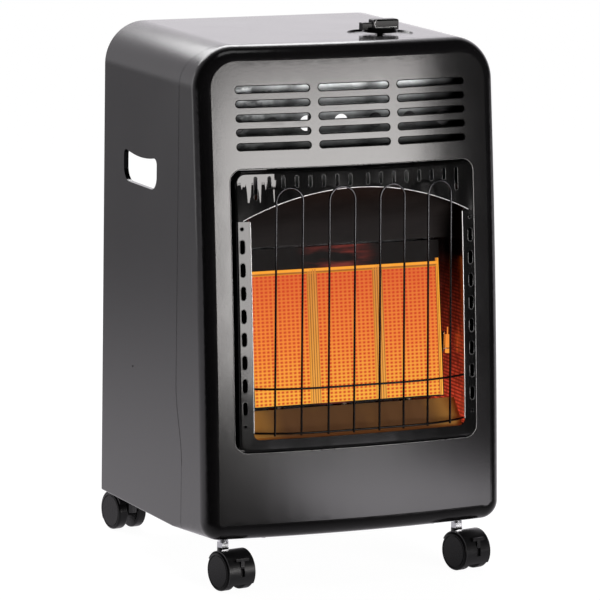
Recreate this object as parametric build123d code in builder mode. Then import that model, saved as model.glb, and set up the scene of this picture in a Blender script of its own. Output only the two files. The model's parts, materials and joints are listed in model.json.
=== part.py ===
"""Cabinet heater for a 20-lb gas cylinder: a bent-sheet cabinet on four castors, with three
infrared burners behind a wire guard.

Millimetres, +Z up, +X to the right of someone facing the front, which looks along -Y.
The origin is on the floor, at the centre of the heater's overall box. Depths are measured
forward from the cabinet's open back, and heights up from the lower edge of its sides.
"""
from build123d import *
import os
from math import asin, atan, cos, degrees, radians, sin, tan

os.makedirs("parts", exist_ok=True)

# cabinet
cabinet_w = 420.0            # over the two sides
cabinet_h = 628.0            # lower edge of the sides to the flat top
floor_gap = 68.0             # floor to the lower edge of the sides
sheet = 1.2
seat_gap = 0.3               # between pieces that are screwed or hooked together

# front panel: crowned side to side, bowed top to bottom
panel_top_depth = 300.0
panel_foot_depth = 351.5
panel_bow = 6.2
panel_crown = 16.4
top_corner_r = 55.0
front_edge_r = 21.0
fold_r = 2.5                 # outside radius of the folds along the lower edges
foot_corner_r = 40.0         # the lower corners open out to this in front of the cabinet
straight_depth = 240.0       # the sides are plain back to front as far as this
seam_foot_depth = 269.0      # the seam between front panel and wrap
seam_side_depth = 248.0
seam_top_depth = 283.0
seam_foot_h = 84.0
seam_knee_h = 190.0
seam_gap = 0.8
return_w = 25.0              # flanges under the sides
rear_return_w = 14.0
foot_flange_depth = 322.0    # the front panel's lower flange reaches back to here
window_w = 341.0
window_foot_h = 113.5
window_h = 360.0
window_r = 16.0
window_rim = 14.5            # how far the window's edge is turned in
slot_w = 101.0
slot_h = 10.5
slot_pitch_x = 111.0
slot_pitch_z = 18.0
slot_rows = 5
grille_h = 537.8             # middle of the slots

# handle holes, knob dish
handle_w = 110.0
handle_h = 43.0
handle_sag = 6.0
handle_depth = 123.0
handle_mid_h = 449.5
handle_lip = 6.5
knob_x = 84.0
knob_depth = 221.0
dish_r = 43.5
dish_drop = 2.0

# inside the cabinet
base_t = 1.6
base_front_depth = 334.0
tilt_inset = 45.0
tail_inset = 27.0            # the base plate carries on behind the sides, this far inside
tail_reach = 68.0
tail_rim = 14.0
cylinder_depth = 90.0        # middle of the cylinder
cylinder_ring_r = 108.0
strap_r = 157.5
strap_w = 20.0
strap_h = 185.5
divider_depth = 254.0
divider_top_h = 479.7
shield_depth = 285.0
shield_top_h = 600.0
shield_hole_r = 10.0
shield_holes = 7
shield_hole_pitch = 48.5
shield_hole_h = 523.5

# trim frame and header, one pressing split in two at the top of the side strips
trim_stand = 8.0             # forward of the front panel
trim_gap = 3.0               # round the pressing, inside the window
trim_edge_r = 2.6
trim_depth = 24.0
trim_flange = 8.0            # behind the window's turned edge
strip_w = 18.3
strip_slot_out = 2.0         # slots lie this far outside the strip's middle
header_h = 64.5              # window's top down to the top of the side strips
strip_slot_w = 7.0
strip_slot_l = 18.0
strip_slots = 8
strip_pitches = 10.085       # slot pitches in the height of a strip
strip_mid_share = 0.546      # of a strip's height, up to the middle of its slots
strip_screws = 8.55          # pitches between the two screw holes
arch_share = 0.574           # of the header's height that the arch rises
arch_half_w = 158.5
header_slot_x = 12.3         # first slot each side of the middle
header_slot_w = 5.0
header_slot_share = 0.248    # of the header's height that a slot is long
header_slot_pitch = 18.4
header_slots = 8
header_end_share = 0.22      # by which the last slot each side is longer
header_slot_drop = 0.248     # of the header's height, window's top to slots' middle

# burners
plaque_w = 79.0              # what shows of each ceramic plaque
plaque_h = 172.0
plaque_t = 13.0
plaque_pitch = 92.8
burner_depth = 314.0         # middle of the burner face
burner_h = 251.5
burner_lean = 7.4
burner_rail = 29.0           # plain plate above the plaques
plenum_t = 36.0
mixer_r = 10.0
mixer_l = 40.0
hood_r = 96.5
hood_foot_h = 369.0
reflector_x = 150.8          # inner faces of the side reflectors
reflector_t = 1.0

# guard
wire_d = 2.8
guard_mid_depth = 374.4
guard_lean = 0.0278          # back per unit up
guard_sweep = 11.0           # how far it bends back at guard_half_w
guard_half_w = 124.0
hairpin_w = 35.0
hairpin_pitch = 70.5
hairpin_foot_h = 136.5
hairpin_top_h = 453.0
guard_end_x = 149.8
guard_rungs = (139.5, 196.5)

# valve and knob
skirt_r = 23.0
skirt_rise = 1.5             # skirt above the cabinet's top
knob_rise = 18.0
grip_l = 36.0
grip_w = 15.0
grip_back = 13.0             # the grip's blunt end, past the stem's axis
nose_reach = 27.5            # the pointer's tip from the stem's axis
nose_w = 11.0
nose_drop = 4.0              # pointer below the top of the grip
stem_r = 4.0
running_gap = 0.05
push = 3.0
spring_wire = 1.2
spring_r = 6.2
spring_l = 10.0
gas_tube_d = 6.0

# castors
wheel_d = 50.0
wheel_w = 14.5
wheel_track = 28.0
tread_r = 3.0
castor_trail = 20.0
axle_r = 3.0
hood_over_r = 26.9
hood_wall = 1.4
hood_w = 39.0
castor_web = 12.6
lever_w = 5.2
lever_slot_w = 6.0
lever_bar = 19.0
castor_front_inset = 43.0    # in from the cabinet's sides
castor_front_depth = 307.0
castor_rear_inset = 60.0
castor_rear_depth = -40.0
front_left_turn = 10.0
front_right_turn = 13.0
rear_turn = 188.0

# derived
half_w = cabinet_w / 2
window_top_h = window_foot_h + window_h
strip_top_h = window_top_h - header_h
strip_h = strip_top_h - window_foot_h
strip_mid_h = window_foot_h + strip_mid_share * strip_h
strip_slot_pitch = strip_h / strip_pitches
arch_rise = arch_share * header_h
header_slot_l = header_slot_share * header_h
header_slot_h = window_top_h - header_slot_drop * header_h
castor_front_x = half_w - castor_front_inset
castor_rear_x = half_w - castor_rear_inset
tail_half_w = half_w - tail_inset
tilt_x = tilt_inset - half_w
cab_bottom = floor_gap
cab_top = floor_gap + cabinet_h
hairpin_half_l = (hairpin_top_h - hairpin_foot_h - hairpin_w) / 2
front_reach = guard_mid_depth + hairpin_half_l * guard_lean + wire_d / 2
tail_turn = radians(rear_turn - 180)
rear_reach = (-castor_rear_depth + (castor_trail + hood_over_r) * cos(tail_turn)
              + hood_w / 2 * sin(tail_turn))
back_y = (front_reach - rear_reach) / 2
base_h = sheet + seat_gap
base_top_h = base_h + base_t
crown_r = (half_w**2 + panel_crown**2) / (2 * panel_crown)
axis_y = back_y - panel_foot_depth - panel_crown + crown_r


def y_at(depth):
    return back_y - depth


def z_at(height):
    return cab_bottom + height


def save(shape, name):
    shape.label = name
    export_step(shape, f"parts/{name}.step")


def slab(x0, x1, d0, d1, h0, h1, mode=Mode.ADD):
    """Box between two X, two depths and two heights."""
    with Locations(((x0 + x1) / 2, y_at((d0 + d1) / 2), z_at((h0 + h1) / 2))):
        Box(abs(x1 - x0), d1 - d0, h1 - h0, mode=mode)


def post(x, depth, z0, z1, r, mode=Mode.ADD):
    """Upright cylinder between two absolute Z."""
    with Locations((x, y_at(depth), (z0 + z1) / 2)):
        Cylinder(r, z1 - z0, mode=mode)


def front_solid(stand_off):
    """Everything behind the crowned front surface, carried forward by stand_off."""
    reach = 80.0
    wedge = asin((half_w + reach) / crown_r)
    section = Plane(origin=(0, axis_y, 0), x_dir=(-sin(wedge), -cos(wedge), 0),
                    z_dir=(-cos(wedge), sin(wedge), 0))
    top = Vector(crown_r - (panel_foot_depth - panel_top_depth), cab_top)
    foot = Vector(crown_r, cab_bottom)
    run = (foot - top).normalized()
    out = Vector(-run.Y, run.X)
    mid = (top + foot) * 0.5 + out * panel_bow
    with BuildPart() as solid:
        with BuildSketch(section):
            with BuildLine():
                face = ThreePointArc(top + out * stand_off, mid + out * stand_off,
                                     foot + out * stand_off)
                head = Line(face @ 0, (face @ 0) - (face % 0) * reach)
                tail = Line(face @ 1, (face @ 1) + (face % 1) * reach)
                back_r = crown_r - 600
                Polyline(head @ 1, (back_r, (head @ 1).Y), (back_r, (tail @ 1).Y), tail @ 1)
            make_face()
        revolve(axis=Axis((0, axis_y, 0), (0, 0, 1)), revolution_arc=2 * degrees(wedge))
    return solid.part


def outline(depth, inset, foot_r):
    """The cabinet's outline seen from the front, at one depth."""
    w = half_w - inset
    low = cab_bottom + inset
    high = cab_top - inset
    with BuildSketch(Plane.XZ.offset(depth - back_y)) as face:
        with BuildLine():
            Polyline((-w, low), (w, low), (w, high), (-w, high), close=True)
        make_face()
        fillet(face.vertices().sort_by(Axis.Y)[2:], top_corner_r - inset)
        fillet(face.vertices().sort_by(Axis.Y)[:2], foot_r)
    return face.sketch


def cabinet_block(inset, back=0.0):
    """The whole cabinet as a solid, smaller all round by inset."""
    far = 400.0
    foot_r = fold_r - min(inset, fold_r - 0.8)
    with BuildPart() as block:
        extrude(to_extrude=outline(back, inset, foot_r), amount=straight_depth - back)
        loft(sections=[outline(straight_depth, inset, foot_r),
                       outline(far, inset, foot_corner_r - inset)], ruled=True)
        add(front_solid(-inset), mode=Mode.INTERSECT)
        front = block.faces().sort_by(Axis.Y)[0]
        fillet(front.outer_wire().edges(), front_edge_r - inset)
    return block.part


def behind_seam(shift):
    """Everything behind the seam, carried forward by shift."""
    foot_y = y_at(seam_foot_depth + shift)
    side_y = y_at(seam_side_depth + shift)
    top_y = y_at(seam_top_depth + shift)
    with BuildPart() as solid:
        with BuildSketch(Plane.YZ):
            with BuildLine():
                Polyline((foot_y, z_at(seam_foot_h)), (foot_y, cab_bottom - 5),
                         (back_y + 5, cab_bottom - 5), (back_y + 5, cab_top + 5),
                         (top_y, cab_top + 5), (top_y, cab_top))
                Spline((top_y, cab_top), (side_y, cab_top - top_corner_r),
                       tangents=((1, -0.4), (0, -1)))
                Line((side_y, cab_top - top_corner_r), (side_y, z_at(seam_knee_h)))
                Spline((side_y, z_at(seam_knee_h)), (foot_y, z_at(seam_foot_h)),
                       tangents=((0, -1), (0, -1)))
            make_face()
        extrude(amount=half_w + 5, both=True)
    return solid.part


def window_face(margin):
    """The window's outline, grown by margin."""
    with BuildSketch(Plane.XZ) as face:
        with Locations((0, z_at(window_foot_h + window_h / 2))):
            RectangleRounded(window_w + 2 * margin, window_h + 2 * margin, window_r + margin)
    return face.sketch


def skin(front, back):
    """The layer between two stand-offs from the front panel's surface."""
    return front_solid(front) - front_solid(back)


shell = cabinet_block(0) - cabinet_block(sheet, sheet)
inner_block = cabinet_block(sheet + seat_gap, sheet + seat_gap)

with BuildPart() as cabinet_wrap:
    add(shell)
    add(behind_seam(0), mode=Mode.INTERSECT)
    slab(return_w - half_w, half_w - return_w, -1, foot_flange_depth, -1, sheet + 1, Mode.SUBTRACT)
    with BuildSketch(Plane.XZ.offset(-back_y - 1)):
        with BuildLine():
            w = half_w - rear_return_w
            high = cab_top - rear_return_w
            Polyline((-w, z_at(sheet)), (w, z_at(sheet)), (w, high), (-w, high), close=True)
        mouth = make_face()
        fillet(mouth.vertices().sort_by(Axis.Y)[2:], top_corner_r - rear_return_w)
    extrude(amount=1 + 2 * sheet, mode=Mode.SUBTRACT)
    # lap tabs that carry the front panel's flanges
    for side in (-1, 1):
        for h, seam in ((60, seam_foot_depth), (520, seam_side_depth)):
            slab(side * (half_w - 2 * sheet), side * (half_w - sheet), seam - 12, seam + 11,
                 h - 20, h + 20)
        slab(side * 60 - 20, side * 60 + 20, seam_top_depth - 12, seam_top_depth + 6,
             cabinet_h - 2 * sheet, cabinet_h - sheet)
    # handle holes with their edges rolled in
    for side in (-1, 1):
        with BuildSketch(Plane.YZ.offset(side * half_w)) as grip:
            with BuildLine():
                y0 = y_at(handle_depth) - handle_w / 2
                y1 = y_at(handle_depth) + handle_w / 2
                low = z_at(handle_mid_h) - handle_h / 2
                high = z_at(handle_mid_h) + handle_h / 2
                ThreePointArc((y0, high), ((y0 + y1) / 2, high - handle_sag), (y1, high))
                Polyline((y1, high), (y1, low), (y0, low), (y0, high))
            make_face()
            fillet(grip.vertices().sort_by(Axis.Y)[:2], 18)
            fillet(grip.vertices().sort_by(Axis.Y)[-2:], 8)
        with BuildSketch(Plane.YZ.offset(side * half_w)):
            add(grip.sketch_local)
            offset(amount=sheet)
        extrude(amount=-side * handle_lip)
        extrude(to_extrude=grip.sketch, amount=-side * (handle_lip + 1), mode=Mode.SUBTRACT)
    # dish for the knob
    with Locations((knob_x, y_at(knob_depth), cab_top - dish_drop - sheet)):
        Cone(dish_r - 0.5, dish_r + sheet, dish_drop + sheet,
             align=(Align.CENTER, Align.CENTER, Align.MIN))
    with Locations((knob_x, y_at(knob_depth), cab_top - dish_drop)):
        Cone(dish_r - 1.5, dish_r, dish_drop, align=(Align.CENTER, Align.CENTER, Align.MIN),
             mode=Mode.SUBTRACT)
    post(knob_x, knob_depth, cab_top - 10, cab_top + 1, stem_r + 3, Mode.SUBTRACT)
save(cabinet_wrap.part, "cabinet_wrap")

with BuildPart() as window_edge:
    extrude(to_extrude=window_face(sheet), amount=300)
    add(skin(-sheet / 2, -window_rim), mode=Mode.INTERSECT)

with BuildPart() as front_panel:
    add(shell)
    add(behind_seam(seam_gap), mode=Mode.SUBTRACT)
    slab(return_w - half_w, half_w - return_w, -1, foot_flange_depth, -1, sheet + 1, Mode.SUBTRACT)
    add(window_edge.part)
    extrude(to_extrude=window_face(0), amount=300, mode=Mode.SUBTRACT)
    with BuildSketch(Plane.XZ):
        with Locations((0, z_at(grille_h))):
            with GridLocations(slot_pitch_x, slot_pitch_z, 3, slot_rows):
                SlotOverall(slot_w, slot_h)
    extrude(amount=300, mode=Mode.SUBTRACT)
save(front_panel.part, "front_panel")

with BuildPart() as base_plate:
    slab(-half_w, half_w, sheet + seat_gap, base_front_depth, base_h, base_top_h)
    add(inner_block, mode=Mode.INTERSECT)
    with BuildSketch(Plane.XY.offset(z_at(base_h))):
        with Locations((0, y_at(-tail_reach / 2 + 30))):
            tail_face = RectangleRounded(2 * tail_half_w, tail_reach + 60, 45)
    extrude(amount=base_t)
    with BuildSketch(Plane.XY.offset(z_at(base_h))):
        with Locations((0, y_at(-tail_reach / 2 + 30))):
            RectangleRounded(2 * tail_half_w, tail_reach + 60, 45)
        with Locations((0, y_at(-tail_reach / 2 + 30))):
            RectangleRounded(2 * tail_half_w - 2 * base_t, tail_reach + 60 - 2 * base_t,
                             45 - base_t, mode=Mode.SUBTRACT)
        with Locations((0, y_at(0) - 100)):
            Rectangle(cabinet_w, 200, mode=Mode.SUBTRACT)
    extrude(amount=base_t + tail_rim)
    with BuildSketch(Plane.XY.offset(z_at(base_top_h))):
        with Locations((0, y_at(cylinder_depth))):
            Circle(cylinder_ring_r + 3)
            Circle(cylinder_ring_r, mode=Mode.SUBTRACT)
    extrude(amount=8)
    for x, depth in ((castor_front_x, castor_front_depth), (castor_rear_x, castor_rear_depth)):
        for side in (-1, 1):
            post(side * x, depth, z_at(base_h) - 1, z_at(base_top_h) + 1, 5, Mode.SUBTRACT)
save(base_plate.part, "base_plate")

# gas tube runs: outlet X on the valve, level of the cross run, X down the side, level of the
# run under the burners, X of the injector
tube_runs = {"right": (10, 615, 196, 80, plaque_pitch), "center": (0, 605, 186, 68, 0),
             "left": (-10, 595, 176, 56, -plaque_pitch)}
pilot_x = 143.0
pilot_h = 215.0

with BuildPart() as bay_divider:
    w = half_w - sheet - seat_gap
    ankle_h = 14.0
    slab(-w, w, divider_depth, divider_depth + sheet, ankle_h, divider_top_h)
    slab(6 - w, w - 6, divider_depth, divider_depth + sheet, base_top_h, ankle_h)
    slab(12 - w, w - 12, divider_depth, divider_depth + 15, base_top_h, base_top_h + sheet)
    for side in (-1, 1):
        slab(side * (w - sheet), side * w, divider_depth - 20, divider_depth + sheet,
             ankle_h, divider_top_h)
    for dx, level, x, h, injector in tube_runs.values():
        with Locations(Location((x, y_at(divider_depth), z_at(h)), (90, 0, 0))):
            Cylinder(gas_tube_d / 2 + 1.5, 10, mode=Mode.SUBTRACT)
    with Locations(Location((pilot_x, y_at(divider_depth), z_at(pilot_h)), (90, 0, 0))):
        Cylinder(4, 10, mode=Mode.SUBTRACT)
save(bay_divider.part, "bay_divider")

with BuildPart() as grille_shield:
    slab(-half_w, half_w, shield_depth, shield_depth + 1, divider_top_h + seat_gap, shield_top_h)
    slab(-half_w, half_w, divider_depth - 4, shield_depth + 1, divider_top_h + seat_gap,
         divider_top_h + seat_gap + 1)
    add(inner_block, mode=Mode.INTERSECT)
    with BuildSketch(Plane.XZ.offset(-y_at(shield_depth - 2))):
        with Locations((0, z_at(shield_hole_h))):
            with GridLocations(shield_hole_pitch, 1, shield_holes, 1):
                Circle(shield_hole_r)
    extrude(amount=6, mode=Mode.SUBTRACT)
save(grille_shield.part, "grille_shield")

with BuildPart() as cylinder_strap:
    with BuildSketch(Plane.XY.offset(z_at(strap_h - strap_w / 2))):
        with Locations((0, y_at(cylinder_depth))):
            Circle(strap_r + 1.5)
            Circle(strap_r, mode=Mode.SUBTRACT)
        with Locations((0, y_at(cylinder_depth + 12) + 200)):
            Rectangle(cabinet_w, 400, mode=Mode.SUBTRACT)
        for side in (-1, 1):
            inner_x = strap_r - 0.4
            outer_x = half_w - sheet - seat_gap
            with Locations((side * (inner_x + outer_x) / 2, y_at(cylinder_depth + 12.75))):
                Rectangle(outer_x - inner_x, 1.5)
            with Locations((side * (outer_x - 0.75), y_at(cylinder_depth + 12))):
                Rectangle(1.5, 26)
    extrude(amount=strap_w)
save(cylinder_strap.part, "cylinder_strap")


def bezel_block(inset):
    """The trim pressing as a solid, smaller by inset."""
    with BuildPart() as block:
        extrude(to_extrude=window_face(-trim_gap - inset), amount=300)
        add(front_solid(trim_stand - inset), mode=Mode.INTERSECT)
        front = block.faces().sort_by(Axis.Y)[0]
        fillet(front.outer_wire().edges(), trim_edge_r - inset)
    return block.part


bezel_back = trim_stand - trim_depth
with BuildPart() as bezel:
    extrude(to_extrude=window_face(trim_flange), amount=300)
    extrude(to_extrude=window_face(-trim_gap - sheet), amount=300, mode=Mode.SUBTRACT)
    add(skin(bezel_back + sheet, bezel_back), mode=Mode.INTERSECT)
    add(bezel_block(0) - bezel_block(sheet) - front_solid(bezel_back))

with BuildPart() as trim_frame:
    add(bezel.part)
    slab(-half_w, half_w, 200, 420, strip_top_h, cabinet_h, Mode.SUBTRACT)
    with BuildSketch(Plane.XZ) as light:
        w = window_w / 2 - trim_gap - strip_w
        low = z_at(window_foot_h + trim_gap + strip_w - 3.3)
        high = z_at(strip_top_h + 10)
        with BuildLine():
            Polyline((-w, low), (w, low), (w, high), (-w, high), close=True)
        make_face()
        fillet(light.vertices().sort_by(Axis.Y)[:2], 8)
    extrude(amount=300, mode=Mode.SUBTRACT)
    with BuildSketch(Plane.XZ):
        for side in (-1, 1):
            x = side * (window_w / 2 - trim_gap - strip_w / 2 + strip_slot_out)
            with Locations((x, z_at(strip_mid_h))):
                with GridLocations(1, strip_slot_pitch, 1, strip_slots):
                    SlotOverall(strip_slot_l, strip_slot_w, rotation=90)
                with GridLocations(1, strip_screws * strip_slot_pitch, 1, 2):
                    Circle(2.4)
    extrude(amount=300, mode=Mode.SUBTRACT)
save(trim_frame.part, "trim_frame")

with BuildPart() as header:
    add(bezel.part)
    slab(-half_w, half_w, 200, 420, 0, strip_top_h + 0.4, Mode.SUBTRACT)
    with BuildSketch(Plane.XZ):
        with BuildLine():
            low = z_at(strip_top_h)
            arch = ThreePointArc((-arch_half_w, low + 1), (0, low + 1 + arch_rise),
                                 (arch_half_w, low + 1))
            Polyline(arch @ 1, (arch_half_w, low - 10), (-arch_half_w, low - 10), arch @ 0)
        make_face()
        for side in (-1, 1):
            for i in range(header_slots):
                extra = header_end_share * header_h if i == header_slots - 1 else 0
                x = side * (header_slot_x + i * header_slot_pitch)
                with Locations((x, z_at(header_slot_h) - extra / 2)):
                    SlotOverall(header_slot_l + extra, header_slot_w, rotation=90)
    extrude(amount=300, mode=Mode.SUBTRACT)
save(header.part, "header")

behind_trim = front_solid(trim_stand - sheet - seat_gap)
hood_axis = Location((0, y_at(burner_depth - 11.5 + hood_r), z_at(hood_foot_h)), (0, 90, 0))

with BuildPart() as hood_reflector:
    with Locations(hood_axis):
        Cylinder(hood_r + reflector_t, 2 * reflector_x - 0.8)
        Cylinder(hood_r, 2 * reflector_x, mode=Mode.SUBTRACT)
    slab(-half_w, half_w, burner_depth - 11.5 + hood_r, 600, 0, cabinet_h, Mode.SUBTRACT)
    slab(-half_w, half_w, 0, 600, 0, hood_foot_h, Mode.SUBTRACT)
    add(behind_trim, mode=Mode.INTERSECT)
save(hood_reflector.part, "hood_reflector")

with BuildPart() as reflector_lip:
    slab(reflector_x, reflector_x + 4, 300, 399, 136, strip_top_h - 6)
    add(skin(trim_stand - sheet - seat_gap, trim_stand - sheet - seat_gap - reflector_t),
        mode=Mode.INTERSECT)

with BuildPart() as reflector:
    with Locations(Location((reflector_x + reflector_t / 2, hood_axis.position.Y,
                             hood_axis.position.Z), (0, 90, 0))):
        Cylinder(hood_r - seat_gap, reflector_t)
    slab(0, half_w, 0, 600, 0, hood_foot_h - seat_gap, Mode.SUBTRACT)
    slab(reflector_x, reflector_x + reflector_t, divider_depth + sheet + seat_gap, 399, 133,
         hood_foot_h - seat_gap)
    add(behind_trim, mode=Mode.INTERSECT)
    add(reflector_lip.part)
save(reflector.part, "side_reflector_right")
save(mirror(reflector.part, about=Plane.YZ, mode=Mode.PRIVATE), "side_reflector_left")

with BuildPart() as lower_tray:
    with BuildSketch(Plane.YZ):
        with BuildLine():
            Polyline((y_at(324.5), z_at(161.5)), (y_at(350), z_at(131.5)), (y_at(375), z_at(122)),
                     (y_at(375), z_at(120.9)), (y_at(349.4), z_at(130.6)),
                     (y_at(323.6), z_at(160.8)), close=True)
        make_face()
    extrude(amount=reflector_x - 0.4, both=True)
    add(behind_trim, mode=Mode.INTERSECT)
save(lower_tray.part, "lower_tray")

# burner pieces are drawn on the leaning face: x across, y up the face, z out of it
lean = radians(burner_lean)
burner_plane = Plane(origin=(0, y_at(burner_depth), z_at(burner_h)), x_dir=(1, 0, 0),
                     z_dir=(0, -cos(lean), sin(lean)))
plaque_back = seat_gap + sheet + plaque_t
case_w = plaque_w + 1 + 2 * (seat_gap + sheet)
case_h = plaque_h + 1 + 2 * (seat_gap + sheet)
burner_x = {"left": -plaque_pitch, "center": 0.0, "right": plaque_pitch}
frame_x = plaque_pitch + case_w / 2 + seat_gap

with BuildPart() as burner_frame:
    top_y = plaque_h / 2 + burner_rail
    foot_y = -case_h / 2
    with BuildSketch(burner_plane.offset(-sheet)):
        with Locations((0, (top_y + foot_y) / 2)):
            Rectangle(2 * (frame_x + sheet), top_y - foot_y)
        with GridLocations(plaque_pitch, 1, 3, 1):
            Rectangle(plaque_w, plaque_h, mode=Mode.SUBTRACT)
    extrude(amount=sheet)
    with BuildSketch(burner_plane.offset(-sheet)):
        for side in (-1, 1):
            with Locations((side * (frame_x + sheet / 2), (top_y + foot_y) / 2)):
                Rectangle(sheet, top_y - foot_y)
    extrude(amount=-100)
    slab(-half_w, half_w, 0, divider_depth + sheet + seat_gap, 0, cabinet_h, Mode.SUBTRACT)
save(burner_frame.part, "burner_frame")

for tag, x in burner_x.items():
    with BuildPart() as plaque:
        with BuildSketch(burner_plane.offset(-seat_gap - sheet)):
            with Locations((x, 0)):
                Rectangle(plaque_w + 1, plaque_h + 1)
        extrude(amount=-plaque_t)
    save(plaque.part, f"plaque_{tag}")
    with BuildPart() as plenum:
        with BuildSketch(burner_plane.offset(-seat_gap - sheet)):
            with Locations((x, 0)):
                Rectangle(case_w, case_h)
        extrude(amount=-plenum_t)
        with BuildSketch(burner_plane.offset(-seat_gap - sheet)):
            with Locations((x, 0)):
                Rectangle(case_w - 2 * sheet, case_h - 2 * sheet)
        extrude(amount=-plaque_t - seat_gap, mode=Mode.SUBTRACT)
        with BuildSketch(burner_plane.offset(-plaque_back - seat_gap)):
            with Locations((x, 0)):
                Rectangle(case_w - 14, case_h - 14)
        extrude(amount=plaque_t + seat_gap - plenum_t + sheet, mode=Mode.SUBTRACT)
        mouth = burner_plane * Location((x, -case_h / 2 + sheet / 2, -24), (90, 0, 0))
        with Locations(mouth):
            Cylinder(mixer_r, mixer_l + sheet / 2, align=(Align.CENTER, Align.CENTER, Align.MIN))
        with Locations(mouth):
            Cylinder(mixer_r - sheet, 2 * mixer_l + 16, mode=Mode.SUBTRACT)
    save(plenum.part, f"plenum_{tag}")

# injectors stand under the mouths of the mixing tubes
mouth_foot = burner_plane.from_local_coords(Vector(0, -case_h / 2 - mixer_l, -24))
injector_y = mouth_foot.Y
injector_top = mouth_foot.Z - 4
rail_z = injector_top - 10

with BuildPart() as injector_rail:
    rail_w = 2 * plaque_pitch + 40
    with Locations((0, (injector_y - 12 + y_at(divider_depth + sheet)) / 2, rail_z - 0.75)):
        Box(rail_w, y_at(divider_depth + sheet) - injector_y + 12, 1.5)
    with Locations((0, y_at(divider_depth + sheet) - 0.75, rail_z - 8)):
        Box(rail_w, 1.5, 16)
    with Locations((0, injector_y, rail_z)):
        with GridLocations(plaque_pitch, 1, 3, 1):
            Cylinder(5, 10, mode=Mode.SUBTRACT)
save(injector_rail.part, "injector_rail")

with BuildPart() as injectors:
    with GridLocations(plaque_pitch, 1, 3, 1):
        with Locations((0, injector_y, 0)):
            with Locations((0, 0, injector_top - 2)):
                Cone(5.5, 2.5, 4)
            with Locations((0, 0, rail_z + 3)):
                Cylinder(6.5, 6)
            with Locations((0, 0, rail_z - 4)):
                Cylinder(4.7, 10)
            with Locations((0, 0, rail_z - 9)):
                Cylinder(6.5, 10 - 5)
save(injectors.part, "injectors")

# valve under the dish, stem up through it
dish_z = cab_top - dish_drop - sheet
bracket_t = 1.6
valve_y = y_at(knob_depth)
neck_top = dish_z - bracket_t
well_z = neck_top - 15
valve_top = neck_top - 19
valve_foot = valve_top - 30

with BuildPart() as valve_bracket:
    with Locations((knob_x, valve_y, dish_z - bracket_t / 2)):
        Box(70, 30, bracket_t)
    post(knob_x, knob_depth, dish_z - 10, dish_z + 1, 6.8, Mode.SUBTRACT)
save(valve_bracket.part, "valve_bracket")

with BuildPart() as control_valve:
    with Locations((knob_x, valve_y, (valve_top + valve_foot) / 2)):
        Box(36, 34, valve_top - valve_foot)
    fillet(control_valve.edges().filter_by(Axis.Z), 4)
    post(knob_x, knob_depth, valve_top - 1, neck_top, 11)
    post(knob_x, knob_depth, well_z, neck_top + 1, 8.5, Mode.SUBTRACT)
    post(knob_x, knob_depth, valve_foot + 6, well_z + 1, stem_r + running_gap, Mode.SUBTRACT)
    for dx in (-10, 0, 10):
        post(knob_x + dx, knob_depth, valve_foot - 6, valve_foot, 4.5)
    post(knob_x, knob_depth - 12, valve_foot - 6, valve_foot, 4)
save(control_valve.part, "control_valve")

seat_z = well_z + spring_l
with BuildPart() as spring_seat:
    post(knob_x, knob_depth, seat_z, seat_z + 1.5, 8.5 - running_gap)
    post(knob_x, knob_depth, seat_z - 1, seat_z + 2, stem_r + running_gap, Mode.SUBTRACT)
save(spring_seat.part, "spring_seat")

with BuildPart() as valve_spring:
    with BuildLine():
        coil = Helix(pitch=2.4, height=spring_l - spring_wire - 0.2, radius=spring_r,
                     center=(knob_x, valve_y, well_z + spring_wire / 2 + 0.1))
    with BuildSketch(Plane(origin=coil @ 0, z_dir=coil % 0)):
        Circle(spring_wire / 2)
    sweep(is_frenet=True)
save(valve_spring.part, "valve_spring")

with BuildPart() as valve_stem:
    post(knob_x, knob_depth, valve_foot + 12, cab_top + knob_rise - 6, stem_r)
    post(knob_x, knob_depth, seat_z + 1.5 + seat_gap, seat_z + 3, 6)
save(valve_stem.part, "valve_stem")

skirt_z = cab_top + skirt_rise
knob_top = cab_top + knob_rise
with BuildPart() as knob_nose:
    nose_top = knob_top - nose_drop
    with Locations((knob_x - (nose_reach + grip_back - 1) / 2, valve_y, (skirt_z + 3 + nose_top) / 2)):
        Box(nose_reach - grip_back + 1, nose_w, nose_top - skirt_z - 3)
    fillet(knob_nose.edges().group_by(Axis.Z)[-1], 1.5)

with BuildPart() as control_knob:
    with Locations((knob_x, valve_y, skirt_z)):
        Cone(skirt_r, skirt_r - 3, 6, align=(Align.CENTER, Align.CENTER, Align.MIN))
    with Locations((knob_x + grip_l / 2 - grip_back, valve_y, (skirt_z + 3 + knob_top) / 2)):
        Box(grip_l, grip_w, knob_top - skirt_z - 3)
    fillet(control_knob.edges().group_by(Axis.Z)[-1], 2.5)
    add(knob_nose.part)
    post(knob_x, knob_depth, skirt_z - 1, knob_top - 5.5, stem_r + running_gap, Mode.SUBTRACT)
save(control_knob.part, "control_knob")

inlet_z = (valve_top + valve_foot) / 2
inlet_y = valve_y + 17
with BuildPart() as inlet_fitting:
    with BuildSketch(Plane(origin=(knob_x, inlet_y, inlet_z), x_dir=(1, 0, 0), z_dir=(0, 1, 0))):
        RegularPolygon(10, 6)
    extrude(amount=6)
    with BuildSketch(Plane(origin=(knob_x, inlet_y + 6, inlet_z), x_dir=(1, 0, 0), z_dir=(0, 1, 0))):
        Circle(7.9)
    extrude(amount=12)
    chamfer(inlet_fitting.edges().group_by(Axis.Y)[-1], 3)
    with Locations(Location((knob_x, inlet_y + 11, inlet_z), (90, 0, 0))):
        Cylinder(3, 16, mode=Mode.SUBTRACT)
save(inlet_fitting.part, "inlet_fitting")

with BuildPart() as piezo_igniter:
    with Locations((knob_x + 18 + 7, valve_y, inlet_z)):
        Box(14, 22, 26)
    with Locations((knob_x + 18 + 7, valve_y, inlet_z + 13 + 4)):
        Cylinder(4, 8)
save(piezo_igniter.part, "piezo_igniter")


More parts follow.
